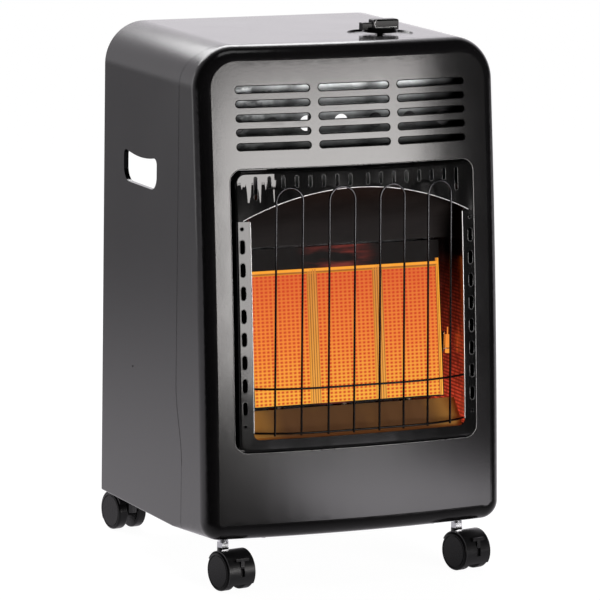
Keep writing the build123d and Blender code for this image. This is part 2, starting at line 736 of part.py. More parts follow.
def gas_line(points, bend, r):
    """Bent tube along a run of corner points."""
    with BuildPart() as tube:
        with BuildLine() as run:
            FilletPolyline(*points, radius=bend)
        path = run.wires()[0]
        with BuildSketch(Plane(origin=path @ 0, z_dir=path % 0)):
            Circle(r)
        sweep(path=path)
    return tube.part


for tag, (dx, level, x, h, injector) in tube_runs.items():
    run_y = y_at(275)
    z = z_at(h)
    tube = gas_line([(knob_x + dx, valve_y, valve_foot - 6 - seat_gap),
                     (knob_x + dx, valve_y, level), (x, valve_y, level), (x, valve_y, z),
                     (x, run_y, z), (injector, run_y, z), (injector, injector_y, z),
                     (injector, injector_y, rail_z - 11.5 - seat_gap)], 9, gas_tube_d / 2)
    save(tube, f"gas_tube_{tag}")

# pilot, flame probe and spark electrode stand beside the right burner
pilot_depth = 305.0
pilot_tube = gas_line([(knob_x, y_at(knob_depth - 12), valve_foot - 6 - seat_gap),
                       (knob_x, y_at(knob_depth - 12), 585), (pilot_x, y_at(knob_depth - 12), 585),
                       (pilot_x, y_at(knob_depth - 12), z_at(pilot_h)),
                       (pilot_x, y_at(pilot_depth), z_at(pilot_h)),
                       (pilot_x, y_at(pilot_depth), z_at(pilot_h + 10))], 7, 2)
save(pilot_tube, "pilot_tube")

with BuildPart() as pilot_burner:
    slab(frame_x + sheet + seat_gap, reflector_x - 0.4, pilot_depth - 18, pilot_depth + 17,
         pilot_h + 10.3, pilot_h + 11.5)
    post(pilot_x, pilot_depth, z_at(pilot_h + 11), z_at(pilot_h + 30), 4.5)
    post(pilot_x, pilot_depth, z_at(pilot_h + 20), z_at(pilot_h + 31), 3, Mode.SUBTRACT)
    for dd in (-12, 12):
        post(pilot_x, pilot_depth + dd, z_at(pilot_h + 5), z_at(pilot_h + 15), 3, Mode.SUBTRACT)
save(pilot_burner.part, "pilot_burner")

with BuildPart() as thermocouple:
    post(pilot_x, pilot_depth - 12, z_at(pilot_h + 4), z_at(pilot_h + 30), 2.7)
    post(pilot_x, pilot_depth - 12, z_at(pilot_h + 29), z_at(pilot_h + 44), 1.6)
save(thermocouple.part, "thermocouple")

with BuildPart() as spark_electrode:
    post(pilot_x, pilot_depth + 12, z_at(pilot_h + 4), z_at(pilot_h + 28), 2.7)
    post(pilot_x, pilot_depth + 12, z_at(pilot_h + 27), z_at(pilot_h + 38), 0.8)
save(spark_electrode.part, "spark_electrode")

with BuildPart() as tilt_switch:
    slab(tilt_x, tilt_x + 30, 278, 300, base_top_h, base_top_h + 26)
    fillet(tilt_switch.edges().filter_by(Axis.Z), 3)
save(tilt_switch.part, "tilt_switch")

# guard: four hairpins welded to two rungs whose ends bend back to the side reflectors
guard_h = (hairpin_foot_h + hairpin_top_h) / 2
with BuildPart() as wire_guard:
    for k in (-1.5, -0.5, 0.5, 1.5):
        x = k * hairpin_pitch
        bend = 2 * guard_sweep * x / guard_half_w**2
        depth = guard_mid_depth - guard_sweep * (x / guard_half_w)**2
        a = hairpin_w / 2
        s = hairpin_half_l
        with BuildLine(Plane(origin=(x, y_at(depth), z_at(guard_h)), x_dir=(1, bend, 0),
                             z_dir=(bend, -1, guard_lean))) as loop:
            Line((-a, -s - a), (-a, s))
            ThreePointArc((-a, s), (0, s + a), (a, s))
            Line((a, s), (a, -s - a))
        path = loop.wires()[0]
        with BuildSketch(Plane(origin=path @ 0, z_dir=path % 0)):
            Circle(wire_d / 2)
        sweep(path=path)
    for h in guard_rungs:
        behind = guard_mid_depth - (h - guard_h) * guard_lean - 2.2
        z = z_at(h)
        with BuildLine() as rung:
            Spline((-guard_end_x, y_at(353.5), z), (-guard_half_w, y_at(behind - guard_sweep), z),
                   (0, y_at(behind), z), (guard_half_w, y_at(behind - guard_sweep), z),
                   (guard_end_x, y_at(353.5), z))
        path = rung.wires()[0]
        with BuildSketch(Plane(origin=path @ 0, z_dir=path % 0)):
            Circle(wire_d / 2)
        sweep(path=path)
save(wire_guard.part, "wire_guard")

# castors, drawn round their stems with the wheels trailing along -Y
wheel_r = wheel_d / 2
boss_top = wheel_r + 26.5
boss_r = 7.4
nut_h = 6.5
pivot_y = -castor_trail - 22.6
pivot_z = wheel_r + 9.0

with BuildPart() as castor_stem:
    with Locations((0, 0, (boss_top - 17 + boss_top + 1) / 2)):
        Cylinder(stem_r, 18)
    with BuildSketch(Plane.XY.offset(boss_top + seat_gap)):
        RegularPolygon(8.2, 6)
    extrude(amount=nut_h)
    with Locations((0, 0, (boss_top + nut_h + z_at(base_h)) / 2)):
        Cylinder(7.0, z_at(base_h) - boss_top - nut_h)
    with Locations((0, 0, z_at(base_h) + 4)):
        Cylinder(4.7, 10)
    with BuildSketch(Plane.XY.offset(z_at(base_top_h))):
        RegularPolygon(8, 6)
    extrude(amount=5)


def castor_hood(braked):
    """Hood and web of one castor, with a notch and cross pin for the brake lever."""
    with BuildPart() as hood:
        with BuildSketch(Plane.YZ):
            with BuildLine():
                over = CenterArc((-castor_trail, wheel_r), hood_over_r, 30, 184)
                under = CenterArc((-castor_trail, wheel_r), hood_over_r - hood_wall, 30, 184)
                Line(over @ 0, under @ 0)
                Line(over @ 1, under @ 1)
            make_face()
        extrude(amount=hood_w / 2, both=True)
        with BuildSketch(Plane.YZ):
            with BuildLine():
                rim = CenterArc((-castor_trail, wheel_r), hood_over_r - hood_wall / 2, 30, 184)
                Polyline(rim @ 0, (-castor_trail, wheel_r - 9), rim @ 1)
            make_face()
            with Locations((-castor_trail, wheel_r)):
                Circle(9)
        extrude(amount=castor_web / 2, both=True)
        with BuildSketch(Plane.XY.offset(wheel_r)):
            Circle(boss_r)
            Rectangle(castor_web, 3 * boss_r, mode=Mode.INTERSECT)
        extrude(amount=boss_top - 2 - wheel_r)
        with Locations((0, 0, boss_top - 2)):
            Cylinder(boss_r, 4)
        with Locations((0, 0, boss_top)):
            Cylinder(stem_r + running_gap, 2 * 18, mode=Mode.SUBTRACT)
        with Locations(Location((0, -castor_trail, wheel_r), (0, 90, 0))):
            Cylinder(axle_r, 60, mode=Mode.SUBTRACT)
        if braked:
            with Locations(Location((0, pivot_y, pivot_z), (0, 90, 0))):
                Cylinder(4.5, lever_slot_w, mode=Mode.SUBTRACT)
            with Locations((0, pivot_y - 5, pivot_z - 3)):
                Box(lever_slot_w, 10, 20, mode=Mode.SUBTRACT)
            with Locations(Location((0, pivot_y, pivot_z), (0, 90, 0))):
                Cylinder(2, 10)
    return hood.part


with BuildPart() as castor_axle:
    with Locations(Location((0, -castor_trail, wheel_r), (0, 90, 0))):
        Cylinder(axle_r, wheel_track + wheel_w - 4)

with BuildPart() as castor_wheel:
    with BuildSketch(Plane.YZ.offset((wheel_track - wheel_w) / 2)):
        with Locations((-castor_trail, wheel_r)):
            Circle(wheel_r)
    extrude(amount=wheel_w)
    fillet(castor_wheel.edges(), tread_r)
    with BuildSketch(Plane.YZ.offset((wheel_track + wheel_w) / 2)):
        with Locations((-castor_trail, wheel_r)):
            Circle(wheel_r - 3.4)
            Circle(wheel_r - 4.6, mode=Mode.SUBTRACT)
    extrude(amount=-1.2, mode=Mode.SUBTRACT)
    with BuildSketch(Plane.YZ.offset((wheel_track - wheel_w) / 2)):
        with Locations((-castor_trail, wheel_r)):
            Circle(axle_r + running_gap)
    extrude(amount=wheel_w - 1.8, mode=Mode.SUBTRACT)

with BuildPart() as brake_lever:
    with BuildSketch(Plane.YZ):
        with BuildLine():
            Polyline((pivot_y - 3.9, pivot_z), (pivot_y - 3.4, pivot_z + 9.5),
                     (pivot_y - 0.5, pivot_z + 9.5), (pivot_y - 0.5, pivot_z), close=True)
        make_face()
        with Locations((pivot_y, pivot_z)):
            Circle(4)
            Circle(2 + running_gap, mode=Mode.SUBTRACT)
    extrude(amount=lever_w / 2, both=True)
    with Locations((0, pivot_y - 1.9, pivot_z + 9.6)):
        Box(lever_bar, 3.2, 4.2)
    fillet(brake_lever.edges().group_by(Axis.Z)[-1], 1.2)

castors = {"front_left": (-castor_front_x, castor_front_depth, front_left_turn, True),
           "front_right": (castor_front_x, castor_front_depth, front_right_turn, True),
           "rear_left": (-castor_rear_x, castor_rear_depth, rear_turn, False),
           "rear_right": (castor_rear_x, castor_rear_depth, rear_turn, False)}

with BuildPart() as castor_stems:
    for x, depth, turn, braked in castors.values():
        add(castor_stem.part.moved(Location((x, y_at(depth), 0))))
save(castor_stems.part, "castor_stems")

other_wheel = mirror(castor_wheel.part, about=Plane.YZ, mode=Mode.PRIVATE)
for tag, (x, depth, turn, braked) in castors.items():
    place = Location((x, y_at(depth), 0), (0, 0, turn))
    save(castor_hood(braked).moved(place), f"castor_{tag}_hood")
    save(castor_axle.part.moved(place), f"castor_{tag}_axle")
    save(castor_wheel.part.moved(place), f"castor_{tag}_wheel_a")
    save(other_wheel.moved(place), f"castor_{tag}_wheel_b")
    if braked:
        save(brake_lever.part.moved(place), f"castor_{tag}_brake")
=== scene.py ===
# %% [markdown]
# # A cabinet gas heater
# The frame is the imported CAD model: every node already stands where it belongs, in metres, on
# the body that moves it. This lesson gives those nodes their finishes, adds the small things
# that sheet-metal drawings leave out, and lights the result.

# %% Load the frame
import json
import math

import bmesh
import bpy
from mathutils import Matrix, Vector
from mathutils.bvhtree import BVHTree


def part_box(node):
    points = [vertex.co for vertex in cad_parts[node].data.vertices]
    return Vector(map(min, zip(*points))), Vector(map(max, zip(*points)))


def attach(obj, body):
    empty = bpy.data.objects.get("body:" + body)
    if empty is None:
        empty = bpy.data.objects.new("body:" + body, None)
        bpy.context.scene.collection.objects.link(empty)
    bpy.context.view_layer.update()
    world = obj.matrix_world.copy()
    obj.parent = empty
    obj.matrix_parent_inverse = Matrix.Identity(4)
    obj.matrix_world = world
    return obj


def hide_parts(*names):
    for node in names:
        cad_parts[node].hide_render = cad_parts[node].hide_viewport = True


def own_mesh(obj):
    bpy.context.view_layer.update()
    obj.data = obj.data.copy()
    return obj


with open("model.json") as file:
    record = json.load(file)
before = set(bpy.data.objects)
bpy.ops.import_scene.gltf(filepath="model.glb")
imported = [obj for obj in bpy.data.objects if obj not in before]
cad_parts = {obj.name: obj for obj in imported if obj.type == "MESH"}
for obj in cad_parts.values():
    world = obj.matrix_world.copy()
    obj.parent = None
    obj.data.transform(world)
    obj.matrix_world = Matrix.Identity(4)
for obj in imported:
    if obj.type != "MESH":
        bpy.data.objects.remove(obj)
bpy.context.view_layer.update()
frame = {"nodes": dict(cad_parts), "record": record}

# %% [markdown]
# ## Places that the pieces share
# The heater is drawn from the cabinet's open back, as depths, and from the lower edge of its
# sides, as heights. The cabinet's box gives both. What a box can't give, such as the pitch of
# the slots, is written here again, in millimetres as the drawing has it.

# %% Depths and heights
MM = 0.001
wrap_low, wrap_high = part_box("cabinet_wrap")
BACK_Y = wrap_high[1]
SILL_Z = wrap_low[2]
HALF_W = wrap_high[0]


def place(x, depth, height):
    """A point from millimetres across, forward of the open back, and above the sides' edge."""
    return Vector((x * MM, BACK_Y - depth * MM, SILL_Z + height * MM))


def add_object(name, data):
    """A new object in the scene, from a mesh, a camera or a lamp."""
    made = bpy.data.objects.new(name, data)
    bpy.context.scene.collection.objects.link(made)
    return made


def mesh_from(bm, name):
    """The mesh that a bmesh has drawn; the bmesh is freed."""
    mesh = bpy.data.meshes.new(name)
    bm.to_mesh(mesh)
    bm.free()
    return mesh


print("cabinet top", round(wrap_high[2], 4), "open back at", round(BACK_Y, 4))

# %% [markdown]
# ## The camera
# A long lens from the front left, a little above the heater. The camera could be pointed with a
# Track To constraint, but writing its axes as a matrix keeps the slight roll in one place.

# %% Camera
CAMERA_AT = place(-2588.5, 5815.19, 1342.5)
CAMERA_AZIMUTH = math.radians(-24.6262)
CAMERA_ELEVATION = math.radians(9.7746)
CAMERA_ROLL = math.radians(0.8783)
CAMERA_LENS = 288.351

back = Vector((math.sin(CAMERA_AZIMUTH) * math.cos(CAMERA_ELEVATION),
               -math.cos(CAMERA_AZIMUTH) * math.cos(CAMERA_ELEVATION),
               math.sin(CAMERA_ELEVATION)))
level = (-back).cross(Vector((0, 0, 1))).normalized()
plumb = level.cross(-back)
right = level * math.cos(CAMERA_ROLL) + plumb * math.sin(CAMERA_ROLL)
up = plumb * math.cos(CAMERA_ROLL) - level * math.sin(CAMERA_ROLL)

camera_data = bpy.data.cameras.new("camera")
camera_data.lens = CAMERA_LENS
camera_data.sensor_width = 36.0
camera_data.clip_end = 50.0
camera = add_object("camera", camera_data)
axes = Matrix((right, up, back)).transposed().to_4x4()
camera.matrix_world = Matrix.Translation(CAMERA_AT) @ axes
bpy.context.scene.camera = camera
bpy.context.scene.view_settings.view_transform = "Standard"
print("camera", round((CAMERA_AT - place(0, 150, 269)).length, 3), "m away")

# %% [markdown]
# ## Writing shaders as sums
# A shader tree is easier to read as arithmetic. `Wire` holds one socket; adding or multiplying
# wires adds Math nodes, and `node` makes any other kind, named without the ShaderNode that they
# all start with, with its settings first and then its sockets.

# %% Wire
class Wire:
    """One output socket of a tree, or the bare tree, which knows the material it belongs to."""

    def __init__(self, tree, socket=None, owner=None):
        self.tree = tree
        self.socket = socket
        self.owner = owner

    def node(self, kind, settings=None, inputs=None, out=0):
        made = self.tree.nodes.new("ShaderNode" + kind)
        for name, value in (settings or {}).items():
            if name == "stops":
                ramp = made.color_ramp.elements
                while len(ramp) < len(value):
                    ramp.new(0.5)
                for stop, (at, tint) in zip(ramp, value):
                    stop.position = at
                    stop.color = (*tint, 1.0)
            else:
                setattr(made, name, value)
        for name, value in (inputs or {}).items():
            if isinstance(value, Wire):
                self.tree.links.new(value.socket, made.inputs[name])
            else:
                made.inputs[name].default_value = value
        return Wire(self.tree, made.outputs[out]) if made.outputs else None

    def math(self, operation, *values):
        return self.node("Math", {"operation": operation}, dict(enumerate(values)))

    def __add__(self, other):
        return self.math("ADD", self, other)

    def __sub__(self, other):
        return self.math("SUBTRACT", self, other)

    def __rsub__(self, other):
        return self.math("SUBTRACT", other, self)

    def __mul__(self, other):
        return self.math("MULTIPLY", self, other)

    __radd__ = __add__
    __rmul__ = __mul__


# %% [markdown]
# ## Small helpers for finishes
# Every finish starts from Object coordinates, which are metres in the shared frame, so a grain
# keeps its real size on every piece.

# %% Finish helpers
def new_finish(name):
    """A Wire that stands for the empty tree of a new material."""
    material = bpy.data.materials.new(name)
    material.use_nodes = True
    material.node_tree.nodes.clear()
    return Wire(material.node_tree, owner=material)


def noise(tree, scale, detail=3.0, stretch=(1, 1, 1)):
    """Noise from 0 to 1 with that many features in a metre, stretched along the axes."""
    where = tree.node("TexCoord", out="Object")
    where = tree.node("Mapping", inputs={"Vector": where, "Scale": stretch})
    return tree.node("TexNoise",
                     inputs={"Vector": where, "Scale": scale, "Detail": detail}, out="Fac")


def blend(tree, factor, first, second):
    """A colour between two colours."""
    made = tree.node("Mix", {"data_type": "RGBA"}, {0: factor}, out=2)
    node = made.socket.node
    for socket, value in ((node.inputs[6], first), (node.inputs[7], second)):
        if isinstance(value, Wire):
            tree.tree.links.new(value.socket, socket)
        else:
            socket.default_value = (*value, 1.0)
    return made


def along(tree, axis):
    """The Object coordinate on one axis, in metres."""
    where = tree.node("TexCoord", out="Object")
    return tree.node("SeparateXYZ", inputs={0: where}, out=axis)


def ramp(tree, value, start, end, low=0.0, high=1.0, kind="SMOOTHSTEP"):
    """value carried from start..end to low..high, and held level outside."""
    return tree.node("MapRange", {"interpolation_type": kind},
                     {"Value": value, "From Min": start, "From Max": end,
                      "To Min": low, "To Max": high})


def spread(tree, value, low, high):
    """value from 0..1 carried to low..high in a straight line."""
    return ramp(tree, value, 0.0, 1.0, low, high, "LINEAR")


def bump(tree, height, strength, distance):
    return tree.node("Bump",
                     inputs={"Height": height, "Strength": strength, "Distance": distance})


def coat(tree, colour, dull, metallic=0.0, gloss=0.5, relief=None, glow=None):
    """Closes a finish: colour is for blend, dull is for spread, relief is for bump or a normal."""
    inputs = {"Base Color": blend(tree, *colour), "Roughness": spread(tree, *dull),
              "Metallic": metallic, "Specular IOR Level": gloss}
    if relief:
        inputs["Normal"] = relief if isinstance(relief, Wire) else bump(tree, *relief)
    if glow:
        inputs.update({"Emission Color": glow, "Emission Strength": 1.0})
    surface = tree.node("BsdfPrincipled", inputs=inputs)
    tree.node("OutputMaterial", inputs={"Surface": surface})
    return tree.owner


print("finish helpers ready")

# %% [markdown]
# ## Gloss enamel on steel
# Powder coat is not flat: it lies in a fine orange peel, and handling leaves it a little duller
# in patches. Both come from noise, one small for the bump and one large for the roughness. The
# header also has a paler corner with runs below it, placed in metres.

# %% Enamels
BLACK = (0.003, 0.003, 0.003)
FLASH_RIGHT, FLASH_FOOT, FLASH_DRIP = -0.113, 0.4555, 0.025
LEAN_MIDDLE = 0.522


def flat_patch(tree, height):
    """1 in the header's upper left corner, with a ragged lower edge, where no lean is left."""
    inside = ramp(tree, along(tree, "X"), FLASH_RIGHT, FLASH_RIGHT - 0.003, kind="LINEAR")
    runs = ramp(tree, noise(tree, 150.0, 1.0, (1, 0, 0)), 0.47, 0.64, kind="LINEAR")
    edge = SILL_Z + FLASH_FOOT - runs * FLASH_DRIP
    return inside * ramp(tree, height - edge, 0.0, 0.0022, kind="LINEAR")


def enamel(name, tint, dull_low, dull_high, peel, gloss=0.5, lean=None, flash=False):
    """Gloss paint. lean=(slope, wave) tips and ripples its sheen without moving the sheet."""
    tree = new_finish(name)
    patches = noise(tree, 9.0, 4.0)
    dust = noise(tree, 1600.0, 2.0)
    brighter = tuple(c * 1.8 + 0.002 for c in tint)
    normal = bump(tree, noise(tree, 420.0, 2.0), peel, 0.0004)
    if lean:
        slope, wave = lean
        height = along(tree, "Z")
        ripple = noise(tree, 26.0, 1.0, (1, 1, 0.35))
        slant = (height - LEAN_MIDDLE) * slope
        if flash:
            slant = slant * (1 - flat_patch(tree, height))
        normal = tree.node("Bump", inputs={
            "Height": slant + ripple * wave, "Strength": 1.0, "Distance": 1.0,
            "Normal": normal})
    return coat(tree, (patches * dust, tint, brighter),
                (patches, dull_low, dull_high), gloss=gloss, relief=normal)


FINISHES = {
    "cabinet_paint": enamel("cabinet_paint", (0.0042, 0.0040, 0.0044), 0.13, 0.20, 0.08),
    "header_enamel": enamel("header_enamel", BLACK, 0.08, 0.14, 0.05, 0.42,
                            lean=(-0.10, 0.0022), flash=True)}
print("enamels:", len(FINISHES))

# %% [markdown]
# ## Bare metals
# A metal's colour is in its reflection. Drawn and rolled stock has streaks along one axis, so
# its noise is stretched; zinc that froze on the sheet has flat crystals, which are Voronoi cells.

# %% Metals
def metal(name, dark, pale, rough, streak=(1, 1, 1), grain=120.0, depth=0.06):
    tree = new_finish(name)
    streaks = noise(tree, grain, 3.0, streak)
    clouds = noise(tree, 14.0, 4.0)
    return coat(tree, (streaks * 0.5 + clouds * 0.5, dark, pale),
                (streaks, rough * 0.75, rough * 1.35), 1.0, relief=(streaks, depth, 0.0003))


def galvanised(name, dark, pale):
    tree = new_finish(name)
    where = tree.node("TexCoord", out="Object")
    crystals = tree.node("TexVoronoi", {"feature": "F1"},
                         {"Vector": where, "Scale": 95.0}, out="Color")
    flat = tree.node("SeparateColor", inputs={"Color": crystals}, out="Red")
    stain = noise(tree, 30.0, 5.0)
    return coat(tree, (flat * 0.5 + stain * stain * 0.9, dark, pale),
                (flat * 0.6 + stain * 0.4, 0.26, 0.5), 0.85, relief=(flat, 0.08, 0.0003))


def heat_tinted(name, straw, bronze, rough):
    """Polished steel that heat has turned straw and bronze."""
    tree = new_finish(name)
    clouds = noise(tree, 11.0, 5.0)
    scuffs = noise(tree, 260.0, 2.0, (0.15, 1, 1))
    return coat(tree, (clouds, straw, bronze), (scuffs, rough * 0.7, rough * 1.3),
                1.0, relief=(scuffs, 0.05, 0.0003))


def guard_painted_shade_finish(name):
    """Wire with painted shade: near-black in front of the burners, bare and bright above them."""
    tree = new_finish(name)
    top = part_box("plaque_center")[1][2]
    bare = ramp(tree, along(tree, "Z"), top + 0.002, top + 0.045)
    drawn = noise(tree, 300.0, 2.0, (1, 1, 0.1))
    # Painted shade: below the plaques' top the wire's colour and metal fall to near-black.
    shade = (bare * (drawn * 0.4 + 0.6), (0.0025, 0.0023, 0.0022), (0.062, 0.062, 0.066))
    return coat(tree, shade, (drawn, 0.16, 0.26), bare, 0.12, (drawn, 0.02, 0.0002))


FINISHES.update({
    "trim_steel": enamel("trim_steel", BLACK, 0.07, 0.13, 0.07, 0.34,
                         lean=(0.0, 0.0011)),
    "reflector_steel": heat_tinted("reflector_steel", (0.020, 0.015, 0.0135),
                                   (0.0095, 0.0065, 0.0055), 0.28),
    "galvanised_steel": galvanised("galvanised_steel", (0.10, 0.10, 0.105),
                                   (0.24, 0.245, 0.25)),
    "brass": metal("brass", (0.55, 0.36, 0.14), (0.82, 0.62, 0.30), 0.22),
    "tube_aluminium": metal("tube_aluminium", (0.62, 0.62, 0.63), (0.84, 0.84, 0.85), 0.24),
    "zinc": metal("zinc", (0.55, 0.56, 0.58), (0.85, 0.86, 0.88), 0.2),
    "guard_wire": guard_painted_shade_finish("guard_wire")})
print("finishes:", len(FINISHES))

# %% [markdown]
# ## Moulded plastics
# Knob, castor hoods and wheels are black plastic from different tools: the hoods have a fine
# spark-eroded grain, the wheels are smoother and carry floor dust.

# %% Plastics
def plastic(name, tint, rough, grain, gloss):
    tree = new_finish(name)
    pits = noise(tree, grain, 2.0)
    dust = noise(tree, 35.0, 5.0)
    dusty = tuple(c * 1.6 + 0.003 for c in tint)
    return coat(tree, (dust, tint, dusty),
                (pits * 0.5 + dust * 0.5, rough * 0.8, rough * 1.3), gloss=gloss,
                relief=(pits, 0.12, 0.0002))


FINISHES.update({
    "black_plastic": plastic("black_plastic", BLACK, 0.2, 900.0, 0.10),
    "castor_plastic": plastic("castor_plastic", (0.004, 0.004, 0.0045), 0.3, 1400.0, 0.42),
    "wheel_plastic": plastic("wheel_plastic", (0.003, 0.003, 0.0035), 0.26, 700.0, 0.16)})
print("finishes:", len(FINISHES))

# %% [markdown]
# ## Glowing ceramic
# Each burner's plaque is a porous ceramic that burns gas at its face. It is hottest, and most
# yellow, at the foot where the gas enters, and cools to orange at the top. The ports are redder
# than the land between them, and a `well` attribute on the mesh says which is which.

# %% Ceramic
def burner_level(tree, past=0.0, low=0.0, high=1.0):
    """low at the foot of the plaques, high at their top or that far past it."""
    face_low, face_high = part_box("plaque_center")
    return ramp(tree, along(tree, "Z"), face_low[2], face_high[2] + past, low, high, "LINEAR")


def glowing_ceramic(name):
    tree = new_finish(name)
    level = burner_level(tree)
    mottle = noise(tree, 55.0, 4.0)
    land = tree.node("ValToRGB", {"stops": (
        (0.0, (0.98, 0.47, 0.052)), (0.45, (0.90, 0.26, 0.038)), (1.0, (0.74, 0.138, 0.030)))},
        {"Fac": level + (mottle - 0.5) * 0.25}, out="Color")
    well = tree.node("Attribute", {"attribute_name": "well"}, out="Fac")
    glow = blend(tree, well, land, (0.60, 0.046, 0.016))
    return coat(tree, (mottle, (0.020, 0.010, 0.004), (0.030, 0.016, 0.006)),
                (mottle, 0.75, 0.95), gloss=0.15, glow=glow)


def glowing_edge(name, foot, head, groove):
    """The burner's metal edges: gold with heat, darker where a `well` attribute says groove."""
    tree = new_finish(name)
    level = burner_level(tree)
    grain = noise(tree, 160.0, 3.0, (1, 1, 0.12))
    well = tree.node("Attribute", {"attribute_name": "well"}, out="Fac")
    land = blend(tree, level + (grain - 0.5) * 0.5, foot, head)
    return coat(tree, (grain, (0.020, 0.012, 0.004), (0.035, 0.02, 0.008)),
                (grain, 0.4, 0.6), spread(tree, grain, 0.7, 0.9),
                glow=blend(tree, well, land, groove))


FINISHES["ceramic"] = glowing_ceramic("ceramic")
JOINT_GLOW = glowing_edge("joint_glow", (0.82, 0.34, 0.042), (0.60, 0.20, 0.024),
                          (0.24, 0.088, 0.014))
FLANGE_GLOW = glowing_edge("flange_glow", (1.0, 0.45, 0.05), (0.92, 0.34, 0.020),
                           (0.30, 0.085, 0.012))
print("finishes:", len(FINISHES) + 2)

# %% [markdown]
# ## What heat and the burners' glow do to the sheets round the burners
# The plate above the plaques is heat-blackened and carries a dull red sheen in its middle, a
# painted reflection of the burners' glow given as light. The tray below them is a gold-brown
# straw colour, palest at its ends. The side reflectors carry a painted reflection of the
# burners' red, given as light, strongest low down where they stand close to the hottest rows.
# The colours follow the pieces' own places, so they are ramps on Object coordinates.

# %% Heat-coloured sheets
def blackened(name):
    tree = new_finish(name)
    off_middle = tree.math("ABSOLUTE", along(tree, "X") + 0.008)
    near = ramp(tree, off_middle, 0.008, 0.062, 1.0, 0.0)
    lit = ramp(tree, noise(tree, 34.0, 4.0, (0.5, 1, 3.2)), 0.42, 0.75)
    soot = noise(tree, 90.0, 4.0)
    # Painted reflection: a dull red sheen of the burners' glow, given as light in the plate's
    # middle.
    sheen = blend(tree, near * lit, (0.0005, 0.0003, 0.0003), (0.20, 0.026, 0.018))
    return coat(tree, (soot, (0.0035, 0.003, 0.003), (0.010, 0.0075, 0.007)),
                (soot, 0.42, 0.6), 0.0, 0.06, (soot, 0.05, 0.0003), sheen)


def straw_tray(name):
    tree = new_finish(name)
    ends = ramp(tree, tree.math("ABSOLUTE", along(tree, "X")), 0.085, 0.150)
    clouds = noise(tree, 16.0, 4.0, (1, 1, 0.4))
    rolled = noise(tree, 420.0, 2.0, (0.1, 1, 1))
    shade = (ends * 0.8 + (clouds - 0.5) * 0.55, (0.155, 0.074, 0.028), (0.52, 0.27, 0.050))
    return coat(tree, shade, (rolled, 0.34, 0.5), spread(tree, clouds, 0.05, 0.2),
                relief=(rolled, 0.05, 0.0003))


GLOW_ROW = 0.00464


def reflector_with_painted_red(name):
    """Polished sheet with a painted reflection of the burners' red in rows, given as light."""
    tree = new_finish(name)
    level = burner_level(tree, 0.012, 1.0, 0.0)
    rows = tree.math("SINE", along(tree, "Z") * (2 * math.pi / GLOW_ROW)) * 0.5 + 0.5
    breaks = noise(tree, 210.0, 2.0, (1, 1, 0.4))
    lit = rows * ramp(tree, breaks, 0.38, 0.62, 0.25, 1.0, "LINEAR")
    hot = level * level * 0.75 + level * 0.25
    facing = tree.node("NewGeometry", out="Normal")
    facing = tree.node("SeparateXYZ", inputs={0: facing}, out="X")
    inner = tree.math("LESS_THAN", facing * along(tree, "X"), -0.1)
    # Painted reflection: the burners' red, lit in rows on the inner faces as emission; their
    # colour is tinted red with it.
    painted_red_reflection = blend(tree, inner * hot * (lit * 0.75 + 0.25), (0.0, 0.0, 0.0),
                   (0.62, 0.058, 0.026))
    return coat(tree, (inner * breaks, (0.010, 0.004, 0.004), (0.22, 0.06, 0.045)),
                (breaks, 0.14, 0.26), 1.0, glow=painted_red_reflection)


def shield_steel(name):
    """Zinc sheet with painted light under the top rows of slots, painted shade at its right end,
    and mottled darker towards its left end.
    """
    tree = new_finish(name)
    height, across = along(tree, "Z"), along(tree, "X")
    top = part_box("grille_shield")[1][2]
    # Painted light and shade: brighter under the top rows of slots, near-black towards the right
    # end.
    level = 0.10
    for foot, head, part in ((0.046, 0.032, 0.62), (0.086, 0.064, 0.20)):
        level = level + part * ramp(tree, height, top - foot, top - head)
    right_end_shade = ramp(tree, across, 0.085, 0.135, 1.0, 0.06)
    left_end = ramp(tree, across, -0.13, -0.06)
    stain = noise(tree, 75.0, 6.0, (0.7, 1, 1))
    blotch = ramp(tree, stain, 0.40, 0.62)
    clean = tree.math("MAXIMUM", left_end, blotch)
    shade = level * right_end_shade * (clean * 0.8 + 0.2)
    return coat(tree, (shade * (blotch * 0.3 + 0.7), (0.004, 0.004, 0.0045), (0.70, 0.74, 0.75)),
                (stain, 0.34, 0.55), 0.9, relief=(stain, 0.06, 0.0003))


def sooted(name, tint):
    """Sheet dulled by soot: hardly any sheen left, streaked along the sheet."""
    tree = new_finish(name)
    soot = noise(tree, 24.0, 5.0, (1, 1, 2.5))
    fine = noise(tree, 340.0, 2.0, (0.15, 1, 1))
    dark, pale = (tuple(c * part for c in tint) for part in (0.45, 1.6))
    return coat(tree, (soot * 0.7 + fine * 0.3, dark, pale), (soot, 0.30, 0.5),
                gloss=0.05, relief=(fine, 0.05, 0.0002))


NODE_FINISHES = {
    "hood_reflector": sooted("hood_soot", (0.0125, 0.0102, 0.0096)),
    "burner_frame": blackened("burner_face"),
    "lower_tray": straw_tray("tray_straw"),
    "side_reflector_left": reflector_with_painted_red("side_reflectors_painted_red"),
    "grille_shield": shield_steel("shield_steel"),
    # Painted shade: the valve's stem and spring seat are black for the shade under the knob.
    "valve_stem": plastic("stem_painted_shade", BLACK, 0.3, 900.0, 0.1),
    "spring_seat": plastic("seat_painted_shade", BLACK, 0.3, 900.0, 0.1)}
NODE_FINISHES["side_reflector_right"] = NODE_FINISHES["side_reflector_left"]
case_steel = heat_tinted("case_steel", (0.10, 0.075, 0.055), (0.045, 0.03, 0.024), 0.4)
for side in ("left", "center", "right"):
    NODE_FINISHES["plenum_" + side] = case_steel
print("finishes for single nodes:", len(NODE_FINISHES))

# %% [markdown]
# ## Finishes on the CAD nodes
# Each node takes the finish of the slot that the record gives it, or its own where heat has
# changed it or where light and shade are painted into it. Linking the material to the object,
# and not to its mesh, leaves the frame's own data untouched.

